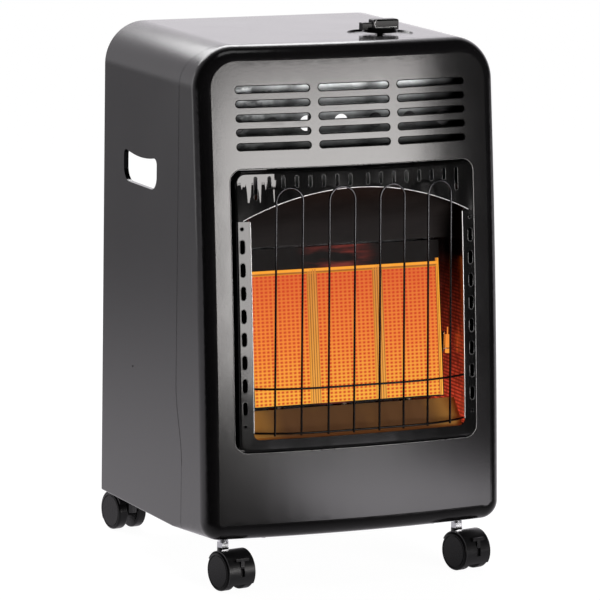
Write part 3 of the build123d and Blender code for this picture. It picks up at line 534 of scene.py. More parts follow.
# %% Paint the frame
slot_of = {part["node"]: part["material_slot"] for part in frame["record"]["subparts"]}
for name, node in frame["nodes"].items():
    if not node.material_slots:
        node.data.materials.append(None)
    for holder in node.material_slots:
        holder.link = "OBJECT"
        holder.material = NODE_FINISHES.get(name, FINISHES[slot_of[name]])
print("painted", len(frame["nodes"]), "nodes")

# %% [markdown]
# ## The room
# A pale sweep behind the heater and a dark studio in front of it: that contrast is what gives
# black enamel its depth. The world is darker to the left, brighter behind and to the right, and
# white to the camera. Is Camera Ray keeps that white out of the enamel.

# %% World and floor
world = bpy.data.worlds.new("studio")
world.use_nodes = True
world.node_tree.nodes.clear()
bpy.context.scene.world = world
sky = Wire(world.node_tree)
heading = sky.node("TexCoord", out="Generated")
north = sky.node("SeparateXYZ", inputs={0: heading}, out="Y")
east = sky.node("SeparateXYZ", inputs={0: heading}, out="X")
sweep = ramp(sky, east, -0.5, 0.35, 0.72, 1.2)
seen = sky.node("LightPath", out="Is Camera Ray")
glow = ramp(sky, north, 0.15, 0.85) * sweep + 0.018
lit = sky.node("Mix", {"data_type": "FLOAT"}, {0: seen, 2: glow, 3: 1.0})
cast = blend(sky, seen, (1.0, 0.965, 1.01), (1.0, 1.0, 1.0))
shine = sky.node("Background", inputs={"Color": cast, "Strength": lit})
sky.node("OutputWorld", inputs={"Surface": shine})

FLOOR_R = 12.0
bm = bmesh.new()
bmesh.ops.create_circle(bm, cap_ends=True, segments=64, radius=FLOOR_R)
floor = add_object("floor", mesh_from(bm, "floor"))
tree = new_finish("pale_floor")
ahead, aside = along(tree, "Y"), along(tree, "X")
speckle = noise(tree, 60.0, 3.0)
matt = tree.node("BsdfDiffuse", inputs={
    "Color": blend(tree, speckle, (0.60, 0.60, 0.60), (0.64, 0.64, 0.645))})
kept = tree.node("BsdfDiffuse", inputs={
    "Color": blend(tree, speckle, (0.16, 0.16, 0.16), (0.17, 0.17, 0.17))})
bright = tree.node("Emission", inputs={"Color": (1, 1, 1, 1), "Strength": 0.965})
paper = tree.node("AddShader", inputs={0: kept, 1: bright})
far_back = ramp(tree, ahead, 0.1, 2.6, 1.25, 0.72)
in_front = ramp(tree, ahead, -0.55, 0.05)
lit_patch = (ramp(tree, ahead, -2.3, -1.2) * ramp(tree, ahead, -0.75, -0.4, 1.0, 0.0)
             * ramp(tree, aside, 0.0, 0.35) * ramp(tree, aside, 0.65, 1.1, 1.0, 0.0))
seen_in_gloss = far_back * in_front + lit_patch * 3.9 + 0.03
mirrored = tree.node("Emission", inputs={
    "Color": blend(tree, ramp(tree, seen_in_gloss, 0.0, 4.0),
                   (0.0, 0.0, 0.0), (4.0, 3.84, 4.04)), "Strength": 1.0})
camera_ray = tree.node("LightPath", out="Is Camera Ray")
glossy_ray = tree.node("LightPath", out="Is Glossy Ray")
floor_mix = tree.node("MixShader", inputs={0: glossy_ray, 1: matt, 2: mirrored})
floor_mix = tree.node("MixShader", inputs={0: camera_ray, 1: floor_mix, 2: paper})
tree.node("OutputMaterial", inputs={"Surface": floor_mix})
floor.data.materials.append(tree.owner)
print("floor and world ready")

# %% [markdown]
# ## Soft boxes
# An area lamp's radiance is its power over pi times its area. Thinking in radiance makes it
# plain how bright each box looks in the enamel. Each box is placed by its bearing from the
# heater: 0 degrees is straight in front, and positive is to the right.

# %% Soft boxes
CHEST = place(0, 320, 330)


def soft_box(name, bearing, elevation, distance, width, height, radiance,
             tint=(1.0, 1.0, 1.0)):
    data = bpy.data.lights.new(name, "AREA")
    data.color = tint
    data.shape = "RECTANGLE"
    data.size = width
    data.size_y = height
    data.energy = radiance * math.pi * width * height
    lamp = add_object(name, data)
    a, e = math.radians(bearing), math.radians(elevation)
    way = Vector((math.sin(a) * math.cos(e), -math.cos(a) * math.cos(e), math.sin(e)))
    lamp.location = CHEST + way * distance
    lamp.rotation_euler = way.to_track_quat("Z", "Y").to_euler()
    lamp.visible_camera = False
    return lamp


soft_box("front_right_box", 19.5, 2.4, 3.2, 1.92, 0.90, 13.0, (1.0, 0.968, 0.95))
soft_box("top_box", -10.0, 78.0, 2.4, 1.2, 0.7, 1.4)
soft_box("edge_strip", 180.0, 41.0, 2.6, 2.4, 1.15, 4.2)
soft_box("left_box", -142.0, 6.0, 3.0, 0.8, 1.6, 0.8)

# %% [markdown]
# ## Burner ports
# The face of each plaque is a grid of small wells. One tile holds one well; Geometry Nodes lays
# the tile over a grid with named sizes, joins the copies and gives them their material. Modelling
# the wells one by one would only hide that they repeat.

# %% Tiles on a grid
def well_tile(name, width, height, mouth_r, floor_r, sink, sides):
    """A flat tile with one round well sunk in its middle, facing +Z."""
    bm = bmesh.new()
    rim_points = []
    for i in range(sides):
        turn = 2 * math.pi * (i + 0.5) / sides
        c, s = math.cos(turn), math.sin(turn)
        reach = 1 / max(abs(c) / (width / 2), abs(s) / (height / 2))
        rim_points.append((bm.verts.new((c * reach, s * reach, 0)),
                           bm.verts.new((c * mouth_r, s * mouth_r, 0)),
                           bm.verts.new((c * floor_r, s * floor_r, -sink))))
    corners = [bm.verts.new((x * width / 2, y * height / 2, 0))
               for x, y in ((1, 1), (-1, 1), (-1, -1), (1, -1))]
    for i in range(sides):
        outer, mouth, deep = rim_points[i]
        outer_b, mouth_b, deep_b = rim_points[(i + 1) % sides]
        bm.faces.new((outer, outer_b, mouth_b, mouth))
        bm.faces.new((mouth, mouth_b, deep_b, deep))
        middle = (outer.co + outer_b.co) / 2
        corner = min(corners, key=lambda v: (v.co - middle).length)
        if abs(outer.co.x - outer_b.co.x) > 1e-9 and abs(outer.co.y - outer_b.co.y) > 1e-9:
            bm.faces.new((outer, corner, outer_b))
    bm.faces.new([deep for _, _, deep in rim_points])
    bm.normal_update()
    mesh = mesh_from(bm, name)
    wells = mesh.attributes.new("well", "FLOAT", "POINT")
    for vertex, value in zip(mesh.vertices, wells.data):
        radius = math.hypot(vertex.co.x, vertex.co.y)
        value.value = 1.0 if radius <= mouth_r * 1.01 else 0.0
    return add_object(name, mesh)


def node_group(name, inputs, kinds):
    """An empty Geometry Nodes group with those inputs, and its nodes by label."""
    tree = bpy.data.node_groups.new(name, "GeometryNodeTree")
    tree.interface.new_socket("Geometry", in_out="OUTPUT", socket_type="NodeSocketGeometry")
    for label, kind in inputs:
        tree.interface.new_socket(label, in_out="INPUT", socket_type="NodeSocket" + kind)
    made = {"in": tree.nodes.new("NodeGroupInput"), "out": tree.nodes.new("NodeGroupOutput")}
    for label, kind in kinds:
        made[label] = tree.nodes.new(kind)
    return tree, made


def join(tree, made, links):
    """Joins sockets; a link is (label, output, label, input)."""
    for start, leaving, end, entering in links:
        tree.links.new(made[start].outputs[leaving], made[end].inputs[entering])


MERGE_WITHIN = 0.00002


def grid_tree(name, tile, material):
    """Geometry Nodes that lay a tile over a grid in the XY plane."""
    tree, made = node_group(
        name, (("Columns", "Int"), ("Rows", "Int"), ("Pitch X", "Float"), ("Pitch Y", "Float")),
        (("grid", "GeometryNodeMeshGrid"), ("tile", "GeometryNodeObjectInfo"),
         ("lay", "GeometryNodeInstanceOnPoints"), ("real", "GeometryNodeRealizeInstances"),
         ("merge", "GeometryNodeMergeByDistance"), ("coat", "GeometryNodeSetMaterial"),
         ("X", "ShaderNodeMath"), ("Y", "ShaderNodeMath"),
         ("less X", "ShaderNodeMath"), ("less Y", "ShaderNodeMath")))
    for axis, count in (("X", "Columns"), ("Y", "Rows")):
        made[axis].operation = "MULTIPLY_ADD"
        made["less " + axis].operation = "MULTIPLY"
        made["less " + axis].inputs[1].default_value = -1.0
        join(tree, made, (("in", count, axis, 0), ("in", "Pitch " + axis, axis, 1),
                          ("in", "Pitch " + axis, "less " + axis, 0),
                          ("less " + axis, 0, axis, 2), (axis, 0, "grid", "Size " + axis),
                          ("in", count, "grid", "Vertices " + axis)))
    made["tile"].inputs["Object"].default_value = tile
    made["merge"].inputs["Distance"].default_value = MERGE_WITHIN
    made["coat"].inputs["Material"].default_value = material
    join(tree, made, (("grid", "Mesh", "lay", "Points"), ("tile", "Geometry", "lay", "Instance"),
                      ("lay", "Instances", "real", "Geometry"),
                      ("real", "Geometry", "merge", "Geometry"),
                      ("merge", "Geometry", "coat", "Geometry"),
                      ("coat", "Geometry", "out", "Geometry")))
    return tree


def settle(obj, tree, values, transform):
    """Runs a tree on obj, keeps the plain mesh, and applies its place to the mesh."""
    modifier = obj.modifiers.new("layout", "NODES")
    modifier.node_group = tree
    for item in tree.interface.items_tree:
        if item.in_out == "INPUT" and item.name in values:
            modifier[item.identifier] = values[item.name]
    evaluated = obj.evaluated_get(bpy.context.evaluated_depsgraph_get())
    plain = bpy.data.meshes.new_from_object(evaluated)
    obj.modifiers.clear()
    obj.data = plain
    plain.transform(transform)
    return len(plain.polygons)


print("grid tools ready")

# %% Ports on the plaques
PLAQUE_W, PLAQUE_H, PLAQUE_PITCH = 79.0, 172.0, 92.8
PORT_COLUMNS, PORT_ROWS = 13, 36
BURNER_LEAN = math.radians(7.4)
WELL_MOUTH_R, WELL_FLOOR_R, WELL_DEPTH, WELL_SIDES = 0.70, 0.42, 0.8, 6
PORTS_BEDDED = 0.15
burner_middle = place(0, 314.0, 251.5)
face_out = Vector((0, -math.cos(BURNER_LEAN), math.sin(BURNER_LEAN)))
face_up = Vector((0, math.sin(BURNER_LEAN), math.cos(BURNER_LEAN)))


def on_burner(x, rise, proud):
    """Matrix that stands a flat piece on the leaning burner face; all three in metres."""
    turn = Matrix((Vector((1, 0, 0)), face_up, face_out)).transposed().to_4x4()
    origin = burner_middle + Vector((x, 0, 0)) + face_up * rise + face_out * proud
    return Matrix.Translation(origin) @ turn


pitch_x = PLAQUE_W * MM / PORT_COLUMNS
pitch_y = PLAQUE_H * MM / PORT_ROWS
tile = well_tile("port_tile", pitch_x, pitch_y, WELL_MOUTH_R * MM, WELL_FLOOR_R * MM,
                 WELL_DEPTH * MM, WELL_SIDES)
port_tree = grid_tree("burner_ports", tile, FINISHES["ceramic"])
for side, x in (("left", -PLAQUE_PITCH), ("center", 0.0), ("right", PLAQUE_PITCH)):
    ports = add_object("ports_" + side, bpy.data.meshes.new("ports_" + side))
    faces = settle(ports, port_tree,
                   {"Columns": PORT_COLUMNS, "Rows": PORT_ROWS, "Pitch X": pitch_x,
                    "Pitch Y": pitch_y}, on_burner(x * MM, 0, -PORTS_BEDDED * MM))
    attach(ports, "cabinet")
    print("ports_" + side, faces, "faces")
bpy.data.objects.remove(tile)

# %% [markdown]
# ## Glowing joints and edges of the burners
# Between two plaques the burner cases meet in a ribbed strip, and a folded flange runs along the
# top of all three and down the outer edge. They are long shapes of one section, so each is a
# section swept along a straight line: a list of points across, each with its height above the
# plate, and a mark on the points that lie in a groove.

# %% Strips of one section
STRIP_BEDDED = 0.4


def strip(name, section, length, transform, finish):
    """Sweeps section, a list of (across, proud, groove) in mm, over length in mm along Y."""
    bm = bmesh.new()
    deep = bm.verts.layers.float.new("well")
    ends = []
    for along in (-length / 2, length / 2):
        row = []
        for across, proud, groove in section:
            vertex = bm.verts.new((across * MM, along * MM, proud * MM))
            vertex[deep] = groove
            row.append(vertex)
        ends.append(row)
    low, high = ends
    for i in range(len(section) - 1):
        bm.faces.new((low[i], low[i + 1], high[i + 1], high[i]))
    under = [[bm.verts.new((v.co.x, v.co.y, -STRIP_BEDDED * MM)) for v in (row[0], row[-1])]
             for row in ends]
    bm.faces.new((low[0], high[0], under[1][0], under[0][0]))
    bm.faces.new((high[-1], low[-1], under[0][1], under[1][1]))
    bm.faces.new([under[0][0]] + [under[0][1]] + low[::-1])
    bm.faces.new([under[1][1], under[1][0]] + high)
    bm.faces.new((under[0][0], under[1][0], under[1][1], under[0][1]))
    bmesh.ops.recalc_face_normals(bm, faces=bm.faces)
    mesh = mesh_from(bm, name)
    mesh.transform(transform)
    mesh.materials.append(finish)
    piece = add_object(name, mesh)
    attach(piece, "cabinet")


ribbed = [(-6.7, 0.3, 0), (-5.4, 0.8, 0), (-4.6, 0.8, 0), (-4.2, 0.2, 1), (-3.6, 0.2, 1),
          (-3.2, 0.9, 0), (-1.4, 0.9, 0), (-0.9, 0.2, 1), (-0.3, 0.2, 1), (0.1, 0.9, 0),
          (2.0, 1.0, 0), (2.4, 0.3, 1), (2.9, 0.3, 1), (3.3, 1.0, 0), (5.6, 0.9, 0),
          (6.0, 0.3, 1), (6.7, 0.2, 1)]
turn_up = Matrix.Rotation(math.pi / 2, 4, "Z")
for side, x in (("left", -PLAQUE_PITCH / 2), ("right", PLAQUE_PITCH / 2)):
    strip("joint_" + side, ribbed, PLAQUE_H, on_burner(x * MM, 0, 0), JOINT_GLOW)
flange = [(-3.4, 0.2, 0), (-3.1, 0.7, 0.4), (-2.2, 0.5, 0.7), (-1.8, 0.2, 1), (-0.4, 0.2, 0.8),
          (0.0, 0.9, 0), (2.9, 0.9, 0), (3.3, 0.4, 0)]
FLANGE_DROP, EDGE_PAST = 2.0, 6.0
strip("burner_top_flange", flange, 2 * PLAQUE_PITCH + PLAQUE_W,
      on_burner(0, (PLAQUE_H / 2 - FLANGE_DROP) * MM, 0) @ turn_up, FLANGE_GLOW)
edge = [(-2.6, 0.2, 1), (-1.9, 0.3, 1), (-1.5, 0.9, 0), (-0.7, 0.9, 0), (-0.4, 0.3, 1),
        (0.0, 0.3, 1), (0.3, 1.1, 0), (1.8, 1.1, 0), (2.1, 0.4, 0)]
strip("burner_right_edge", edge, PLAQUE_H + EDGE_PAST,
      on_burner((PLAQUE_PITCH + PLAQUE_W / 2) * MM, 2.5 * MM, 0), FLANGE_GLOW)
print("joint strips and flanges placed")

# %% [markdown]
# ## Rims, hems and edges
# Pressed sheet has no sharp cut edge: each slot is rimmed, and the edges of the trim are turned
# over. Such an edge is a thin tube that lies on its sheet. The sheets are curved, so each tube's
# points are dropped on the sheet with a ray, from in front or, for the seams, from the side. A
# curve with a round bevel gives the tube.

# %% Tubes laid on a sheet
trees = {}


def tree_of(node):
    """The node's faces, kept for ray casts."""
    if node not in trees:
        trees[node] = BVHTree.FromObject(frame["nodes"][node],
                                         bpy.context.evaluated_depsgraph_get())
    return trees[node]


def on_sheet(node, x, z):
    """The point of a node's front surface at x and z, in metres."""
    hit = tree_of(node).ray_cast(Vector((x, -1.0, z)), Vector((0, 1, 0)))[0]
    return None if hit is None else Vector((x, hit.y, z))


def slot_outline(x, z, length, width, upright, steps):
    """Points round a slot with round ends, as (x, z, outward x, outward z) in metres."""
    points = []
    half = (length - width) / 2
    for end in (1, -1):
        for i in range(steps + 1):
            turn = math.pi * (i / steps - 0.5)
            c, s = math.cos(turn) * end, math.sin(turn) * end
            along, off = half * end + c * width / 2, s * width / 2
            if upright:
                points.append((x - off, z + along, -s, c))
            else:
                points.append((x + along, z + off, c, s))
    return points


def laid_loop(node, outline, proud, reach):
    """Drops an outline on a sheet, reading the sheet a little outside the hole."""
    loop = []
    for x, z, out_x, out_z in outline:
        seat = on_sheet(node, x + out_x * reach * MM, z + out_z * reach * MM)
        if seat is not None:
            loop.append(Vector((x, seat.y - proud * MM, z)))
    return loop


def slot_rim(node, spot, length, width, proud, reach=0.7, upright=True, steps=5):
    """The closed run round a slot at spot, for tubes; its sizes are in mm."""
    outline = slot_outline(spot.x, spot.z, length * MM, width * MM, upright, steps)
    return laid_loop(node, outline, proud, reach), True


def tubes(name, runs, radius, finish, sides=1, body="cabinet"):
    """One piece made of tubes along runs, each a list of points and whether it closes."""
    curve = bpy.data.curves.new(name, "CURVE")
    curve.dimensions = "3D"
    curve.bevel_depth = radius * MM
    curve.bevel_resolution = sides
    curve.use_fill_caps = True
    for points, closed in runs:
        run = curve.splines.new("POLY")
        run.points.add(len(points) - 1)
        for spot, point in zip(run.points, points):
            spot.co = (*point, 1.0)
        run.use_cyclic_u = closed
    lead = bpy.data.objects.new(name, curve)
    mesh = bpy.data.meshes.new_from_object(lead)
    bpy.data.objects.remove(lead)
    mesh.name = name
    mesh.materials.clear()
    mesh.materials.append(finish)
    for face in mesh.polygons:
        face.use_smooth = True
    piece = add_object(name, mesh)
    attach(piece, body)


GRILLE_MIDDLE, RIM_INSIDE = 537.8, 0.9
SLOT_L, SLOT_W, SLOT_PITCH_X, SLOT_PITCH_Z = 101.0, 10.5, 111.0, 18.0
rims = [slot_rim("front_panel",
                 place(column * SLOT_PITCH_X, 0, GRILLE_MIDDLE + row * SLOT_PITCH_Z),
                 SLOT_L - RIM_INSIDE, SLOT_W - RIM_INSIDE, -0.6, 1.2, False, 7)
        for column in (-1, 0, 1) for row in range(-2, 3)]
# The grille's rims are a duller, darker black than the panel: a rolled edge, and painted shade for
# the gap round each slot.
rim_shade_black = enamel("rim_shade_black", (0.0016, 0.0016, 0.0016), 0.3, 0.45, 0.02, 0.12)
tubes("grille_rims", rims, 0.95, rim_shade_black)
print("grille rims:", len(rims))

# %% Rims of the trim's slots
WINDOW_FOOT, WINDOW_H, WINDOW_HALF_W = 113.5, 360.0, 170.5
HEADER_H = 64.5
STRIP_W, STRIP_SLOTS, STRIP_SLOT_L, STRIP_SLOT_W = 18.3, 8, 18.0, 7.0
TRIM_INSET, SLOTS_OUTWARD = 3.0, 2.0
SLOTS_IN_STRIP, STRIP_MIDDLE, HOLES_APART, HOLE_D = 10.085, 0.546, 8.55, 4.8
strip_top = WINDOW_FOOT + WINDOW_H - HEADER_H
strip_pitch = (strip_top - WINDOW_FOOT) / SLOTS_IN_STRIP
strip_mid = WINDOW_FOOT + STRIP_MIDDLE * (strip_top - WINDOW_FOOT)
rims, holes = [], []
for side in (-1, 1):
    x = side * (WINDOW_HALF_W - TRIM_INSET - STRIP_W / 2 + SLOTS_OUTWARD)
    for i in range(STRIP_SLOTS):
        spot = place(x, 0, strip_mid + (i - (STRIP_SLOTS - 1) / 2) * strip_pitch)
        rims.append(slot_rim("trim_frame", spot, STRIP_SLOT_L, STRIP_SLOT_W, -0.2))
    for end in (-1, 1):
        spot = place(x, 0, strip_mid + end * HOLES_APART * strip_pitch / 2)
        holes.append(slot_rim("trim_frame", spot, HOLE_D, HOLE_D - 0.01, -0.1))
rim_gloss = enamel("rim_gloss", BLACK, 0.1, 0.18, 0.02, 0.9)
tubes("strip_rims", rims + holes, 0.6, rim_gloss)
HEADER_SLOTS, HEADER_SLOT_W, FIRST_SLOT_X, HEADER_PITCH = 8, 5.0, 12.3, 18.4
header_slot_l, last_slot_extra = 0.248 * HEADER_H, 0.22 * HEADER_H
rims = []
for side in (-1, 1):
    for i in range(HEADER_SLOTS):
        extra = last_slot_extra if i == HEADER_SLOTS - 1 else 0.0
        spot = place(side * (FIRST_SLOT_X + i * HEADER_PITCH), 0,
                     WINDOW_FOOT + WINDOW_H - header_slot_l - extra / 2)
        rims.append(slot_rim("header", spot, header_slot_l + extra, HEADER_SLOT_W, -0.1))
tubes("header_rims", rims, 0.42, rim_gloss)
print("strip rims:", 2 * STRIP_SLOTS, "holes:", len(holes), "header rims:", len(rims))

# %% Turned edges of the trim
def edge_run(node, spots, aside, above):
    """An open run on a node's edge, reading the sheet that many mm aside and above."""
    run = []
    for spot in spots:
        seat = on_sheet(node, spot.x + aside * MM, spot.z + above * MM)
        if seat is not None:
            run.append(Vector((spot.x, seat.y + EDGE_BEDDED * MM, spot.z)))
    return run, False


EDGE_BEDDED = 0.3
ARCH_RISE, ARCH_HALF_W, ARCH_STEPS = 0.574 * HEADER_H, 158.5, 60
EDGE_FOOT, EDGE_SHORTER, EDGE_STEPS = 27, 28, 40
arch_r = (ARCH_HALF_W ** 2 + ARCH_RISE ** 2) / (2 * ARCH_RISE)
arch_middle = strip_top + 1 + ARCH_RISE - arch_r
arch_x = [-ARCH_HALF_W + i * 2 * ARCH_HALF_W / ARCH_STEPS for i in range(ARCH_STEPS + 1)]
arch = edge_run("header", [place(x, 0, arch_middle + math.sqrt(arch_r ** 2 - x ** 2))
                           for x in arch_x], 0.0, 0.9)
edge_x = WINDOW_HALF_W - TRIM_INSET - STRIP_W
edge_rise = (strip_top - WINDOW_FOOT - EDGE_SHORTER) / EDGE_STEPS
edges = [edge_run("trim_frame", [place(side * edge_x, 0, WINDOW_FOOT + EDGE_FOOT + i * edge_rise)
                                 for i in range(EDGE_STEPS + 1)], side * 0.8, 0.0)
         for side in (-1, 1)]
print("arch points:", len(arch[0]), "edge points:", [len(run) for run, closed in edges])
bright_edge = metal("bright_edge", (0.30, 0.30, 0.30), (0.62, 0.62, 0.62), 0.3)
worn_edge = metal("worn_edge", (0.06, 0.06, 0.06), (0.20, 0.20, 0.20), 0.28)
tubes("arch_hem", [arch], 0.75, bright_edge, 2)
tubes("strip_edges", edges, 0.8, bright_edge, 2)

# %% Bead round the window, hems on the seams
CORNER_R, BEAD_R, CORNER_STEPS, SIDE_STEPS = 16, 16.6, 8, 12
corners = []
for x_end, z_end, start in ((1, 1, 0), (-1, 1, 90), (-1, -1, 180), (1, -1, 270)):
    middle = place(x_end * (WINDOW_HALF_W - CORNER_R), 0,
                   WINDOW_FOOT + WINDOW_H / 2 + z_end * (WINDOW_H / 2 - CORNER_R))
    corner = []
    for i in range(CORNER_STEPS + 1):
        turn = math.radians(start + i * 90 / CORNER_STEPS)
        c, s = math.cos(turn), math.sin(turn)
        corner.append((middle.x + BEAD_R * MM * c, middle.z + BEAD_R * MM * s, c, s))
    corners.append(corner)
outline = []
for i in range(4):
    outline += corners[i]
    x0, z0, c, s = corners[i][-1]
    x1, z1 = corners[(i + 1) % 4][0][:2]
    outline += [(x0 + (x1 - x0) * k / SIDE_STEPS, z0 + (z1 - z0) * k / SIDE_STEPS, c, s)
                for k in range(1, SIDE_STEPS)]
tubes("window_bead", [(laid_loop("front_panel", outline, 0.05, 1.6), True)], 0.7,
      worn_edge, 2)
SEAM_FOOT, SEAM_HEAD, SEAM_STEPS = 86.0, 572.0, 48
SEAM_DEPTH, SWEEP_TOP, SWEEP_H, SWEEP_DEPTH = 249.6, 190.0, 106.0, 21.0
seams = []
for side in (-1, 1):
    run = []
    for i in range(SEAM_STEPS + 1):
        h = SEAM_FOOT + i * (SEAM_HEAD - SEAM_FOOT) / SEAM_STEPS
        t = min(max((SWEEP_TOP - h) / SWEEP_H, 0.0), 1.0)
        spot = place(0, SEAM_DEPTH + SWEEP_DEPTH * t * t * (3 - 2 * t), h)
        hit = tree_of("front_panel").ray_cast(Vector((side, spot.y, spot.z)),
                                              Vector((-side, 0, 0)))[0]
        run.append(Vector((hit.x - side * EDGE_BEDDED * MM, spot.y, spot.z)))
    seams.append((run, False))
tubes("seam_hems", seams, 0.5, worn_edge, 2)
print("bead points:", len(outline), "seam points:", [len(run) for run, closed in seams])

# %% [markdown]
# ## Screws and rivets
# A screw repeats, so it is drawn once. The places are the vertices of a small mesh, each with
# an `aim` vector for the way its head points, and Geometry Nodes put a head on each of them.

# %% Heads on places
def turned(name, rings, sides):
    """A closed stud from rings of (radius, height) in millimetres, along +Z."""
    bm = bmesh.new()
    rows = []
    for radius, height in rings:
        rows.append([bm.verts.new((radius * MM * math.cos(2 * math.pi * i / sides),
                                   radius * MM * math.sin(2 * math.pi * i / sides),
                                   height * MM)) for i in range(sides)])
    for low, high in zip(rows, rows[1:]):
        for i in range(sides):
            j = (i + 1) % sides
            bm.faces.new((low[i], low[j], high[j], high[i]))
    bm.faces.new(rows[0][::-1])
    bm.faces.new(rows[-1])
    return add_object(name, mesh_from(bm, name))


def stud_tree(name, stud, material):
    """Geometry Nodes that stand a stud on each vertex, along its `aim`."""
    tree, made = node_group(
        name, (("Places", "Geometry"), ("Size", "Float")),
        (("stud", "GeometryNodeObjectInfo"), ("aim", "GeometryNodeInputNamedAttribute"),
         ("turn", "FunctionNodeAlignRotationToVector"),
         ("stand", "GeometryNodeInstanceOnPoints"), ("real", "GeometryNodeRealizeInstances"),
         ("coat", "GeometryNodeSetMaterial")))
    made["aim"].data_type = "FLOAT_VECTOR"
    made["aim"].inputs["Name"].default_value = "aim"
    made["turn"].axis = "Z"
    made["stud"].inputs["Object"].default_value = stud
    made["coat"].inputs["Material"].default_value = material
    join(tree, made, (("in", "Places", "stand", "Points"),
                      ("stud", "Geometry", "stand", "Instance"),
                      ("aim", "Attribute", "turn", "Vector"),
                      ("turn", "Rotation", "stand", "Rotation"),
                      ("in", "Size", "stand", "Scale"),
                      ("stand", "Instances", "real", "Geometry"),
                      ("real", "Geometry", "coat", "Geometry"),
                      ("coat", "Geometry", "out", "Geometry")))
    return tree


def studs(name, tree, places, size=1.0, body="cabinet"):
    """A piece with a stud at each of places, a list of (point, aim)."""
    mesh = bpy.data.meshes.new(name)
    mesh.from_pydata([tuple(point) for point, aim in places], [], [])
    aims = mesh.attributes.new("aim", "FLOAT_VECTOR", "POINT")
    for holder, (point, aim) in zip(aims.data, places):
        holder.vector = aim
    piece = add_object(name, mesh)
    faces = settle(piece, tree, {"Size": size}, Matrix())
    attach(piece, body)
    print(name, len(places), "studs,", faces, "faces")


STUD_SIDES = 12
HEX_RINGS = (3, 4, 5)  # the rings above the washer, up to the chamfer
hex_head = turned("hex_head", ((4.6, -0.4), (4.6, 0.5), (3.9, 0.7), (3.7, 0.7), (3.7, 3.0),
                               (3.1, 3.5), (1.6, 3.5), (1.2, 3.2)), STUD_SIDES)
for index, vertex in enumerate(hex_head.data.vertices):
    ring, step = divmod(index, STUD_SIDES)
    if ring in HEX_RINGS and step % 2:
        vertex.co.x *= math.cos(math.pi / 6)
        vertex.co.y *= math.cos(math.pi / 6)
rivet_head = turned("rivet_head", ((2.4, -0.4), (2.4, 0.2), (2.1, 0.7), (1.3, 1.1), (0.5, 1.2)),
                    STUD_SIDES)
screw_tree = stud_tree("screws", hex_head, FINISHES["zinc"])
rivet_tree = stud_tree("rivets", rivet_head, FINISHES["trim_steel"])
down, back_way = Vector((0, 0, -1)), Vector((0, 1, 0))
SIDE_FLANGE_X, FRONT_FLANGE_DEPTH = 196, 328
under = [(place(side * SIDE_FLANGE_X, depth, 0.0), down)
         for side in (-1, 1) for depth in (40, 130, 225)]
under += [(place(x, FRONT_FLANGE_DEPTH, 0.0), down) for x in (-120, -40, 40, 120)]
studs("base_screws", screw_tree, under)
strap = place(0, 103.5, 186.2)
strap_rivets = [(Vector((side * HALF_W, strap.y, strap.z)), Vector((side, 0, 0)))
                for side in (-1, 1)]
studs("strap_rivets", rivet_tree, strap_rivets, 0.7)
DIVIDER_FLANGE_X, DIVIDER_DEPTH = 201, 254.0
behind = [(place(side * DIVIDER_FLANGE_X, DIVIDER_DEPTH, h), back_way)
          for side in (-1, 1) for h in (60, 165, 270, 375, 460)]
studs("divider_screws", screw_tree, behind, 0.8)
for stud in (hex_head, rivet_head):
    bpy.data.objects.remove(stud)

# %% [markdown]
# ## A dark sheet behind the shield's holes
# A strip of thin, dark sheet stands behind most of the shield's seven holes as painted shade,
# so that they show dark. It leaves a gap beside the third hole and is cut lower behind the
# fourth. A flat outline extruded by its thickness is all it needs.

# %% Dark sheet behind the holes
SHADE_SHEET_DEPTH, SHADE_SHEET_THICK = 284.9, 0.8


def plate(name, outline, finish):
    """A flat sheet from an outline of (x, height) in mm, standing at the dark sheet's depth."""
    bm = bmesh.new()
    front = [bm.verts.new(place(x, SHADE_SHEET_DEPTH, h)) for x, h in outline]
    rear = [bm.verts.new(place(x, SHADE_SHEET_DEPTH - SHADE_SHEET_THICK, h)) for x, h in outline]
    bm.faces.new(front)
    bm.faces.new(rear[::-1])
    for i in range(len(outline)):
        j = (i + 1) % len(outline)
        bm.faces.new((front[j], front[i], rear[i], rear[j]))
    bmesh.ops.recalc_face_normals(bm, faces=bm.faces)
    mesh = mesh_from(bm, name)
    mesh.materials.append(finish)
    piece = add_object(name, mesh)
    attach(piece, "cabinet")


# Painted shade: a dark zinc sheet where the holes show only shade.
shade_sheet_zinc = galvanised("shade_sheet_zinc", (0.012, 0.012, 0.013), (0.06, 0.06, 0.062))
plate("baffle_left", [(-168, 508), (-74, 508), (-74, 539), (-168, 539)],
      shade_sheet_zinc)
plate("baffle_right", [(-46.5, 508), (168, 508), (168, 539), (26, 539), (26, 523.5),
                       (-20, 523.5), (-20, 539), (-46.5, 539)],
      shade_sheet_zinc)
print("baffles placed")

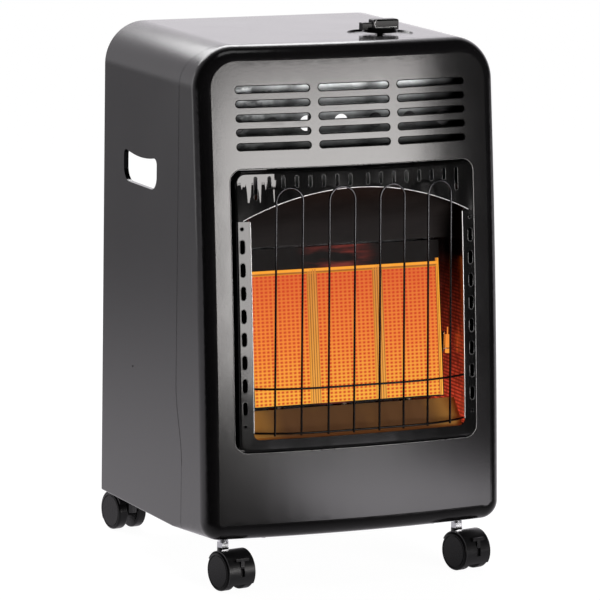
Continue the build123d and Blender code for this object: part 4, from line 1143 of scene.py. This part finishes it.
# %% [markdown]
# ## The knob's mark
# A white line runs down the blunt end of the grip, an index mark so that the knob's setting
# can be read from across a room, and on along its foot as a painted highlight on the skirt's
# upper edge. It is a thin tube bedded in the plastic, and rides on the knob.

# %% Line on the knob
knob_body = [name for name, nodes in frame["record"]["behaviour"]["bodies"].items()
             if "control_knob" in nodes][0]
knob_low, knob_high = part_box("control_knob")
stem_low, stem_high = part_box("valve_stem")
axis = Vector(((stem_low[0] + stem_high[0]) / 2, (stem_low[1] + stem_high[1]) / 2, 0))
GRIP_HALF, LINE_BEDDED = 7.5, 0.1
LINE_X, LINE_BOW, LINE_REACH = -9.2, 2.2, 30
BOW_STEPS, FOOT_STEPS = 8, 6
line_y = axis.y - GRIP_HALF * MM + LINE_BEDDED * MM
foot_z, head_z = knob_low[2] + 6.2 * MM, knob_high[2] - 1.6 * MM
bow = [Vector((axis.x + (LINE_X - LINE_BOW * math.sin(math.pi * i / BOW_STEPS)) * MM, line_y,
               head_z + (foot_z - head_z) * i / BOW_STEPS)) for i in range(BOW_STEPS + 1)]
# Painted highlight: the run along the foot stands for light caught on the skirt's upper edge.
bow += [Vector((axis.x + (LINE_X + LINE_REACH * i / FOOT_STEPS) * MM, line_y, foot_z))
        for i in range(1, FOOT_STEPS + 1)]
white_mark_and_highlight = plastic("white_mark_and_highlight", (0.78, 0.78, 0.78), 0.3, 600.0, 0.4)
tubes("knob_line", [(bow, False)], 0.55, white_mark_and_highlight, 1, knob_body)
print("knob line rides on", knob_body)

# %% [markdown]
# ## The valve's spring
# A coil is one body, but it gives way as the knob goes down. So a copy of the coil stands for
# it, riding on the cabinet, and the coil node itself is hidden.

# %% Spring
coil_mesh = frame["nodes"]["valve_spring"].data.copy()
coil_mesh.transform(frame["nodes"]["valve_spring"].matrix_world)
coil_mesh.materials.clear()
coil_mesh.materials.append(FINISHES[slot_of["valve_spring"]])
coil = add_object("spring_coil", coil_mesh)
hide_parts("valve_spring")
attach(coil, "cabinet")
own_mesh(coil)
print("spring_coil stands for valve_spring")
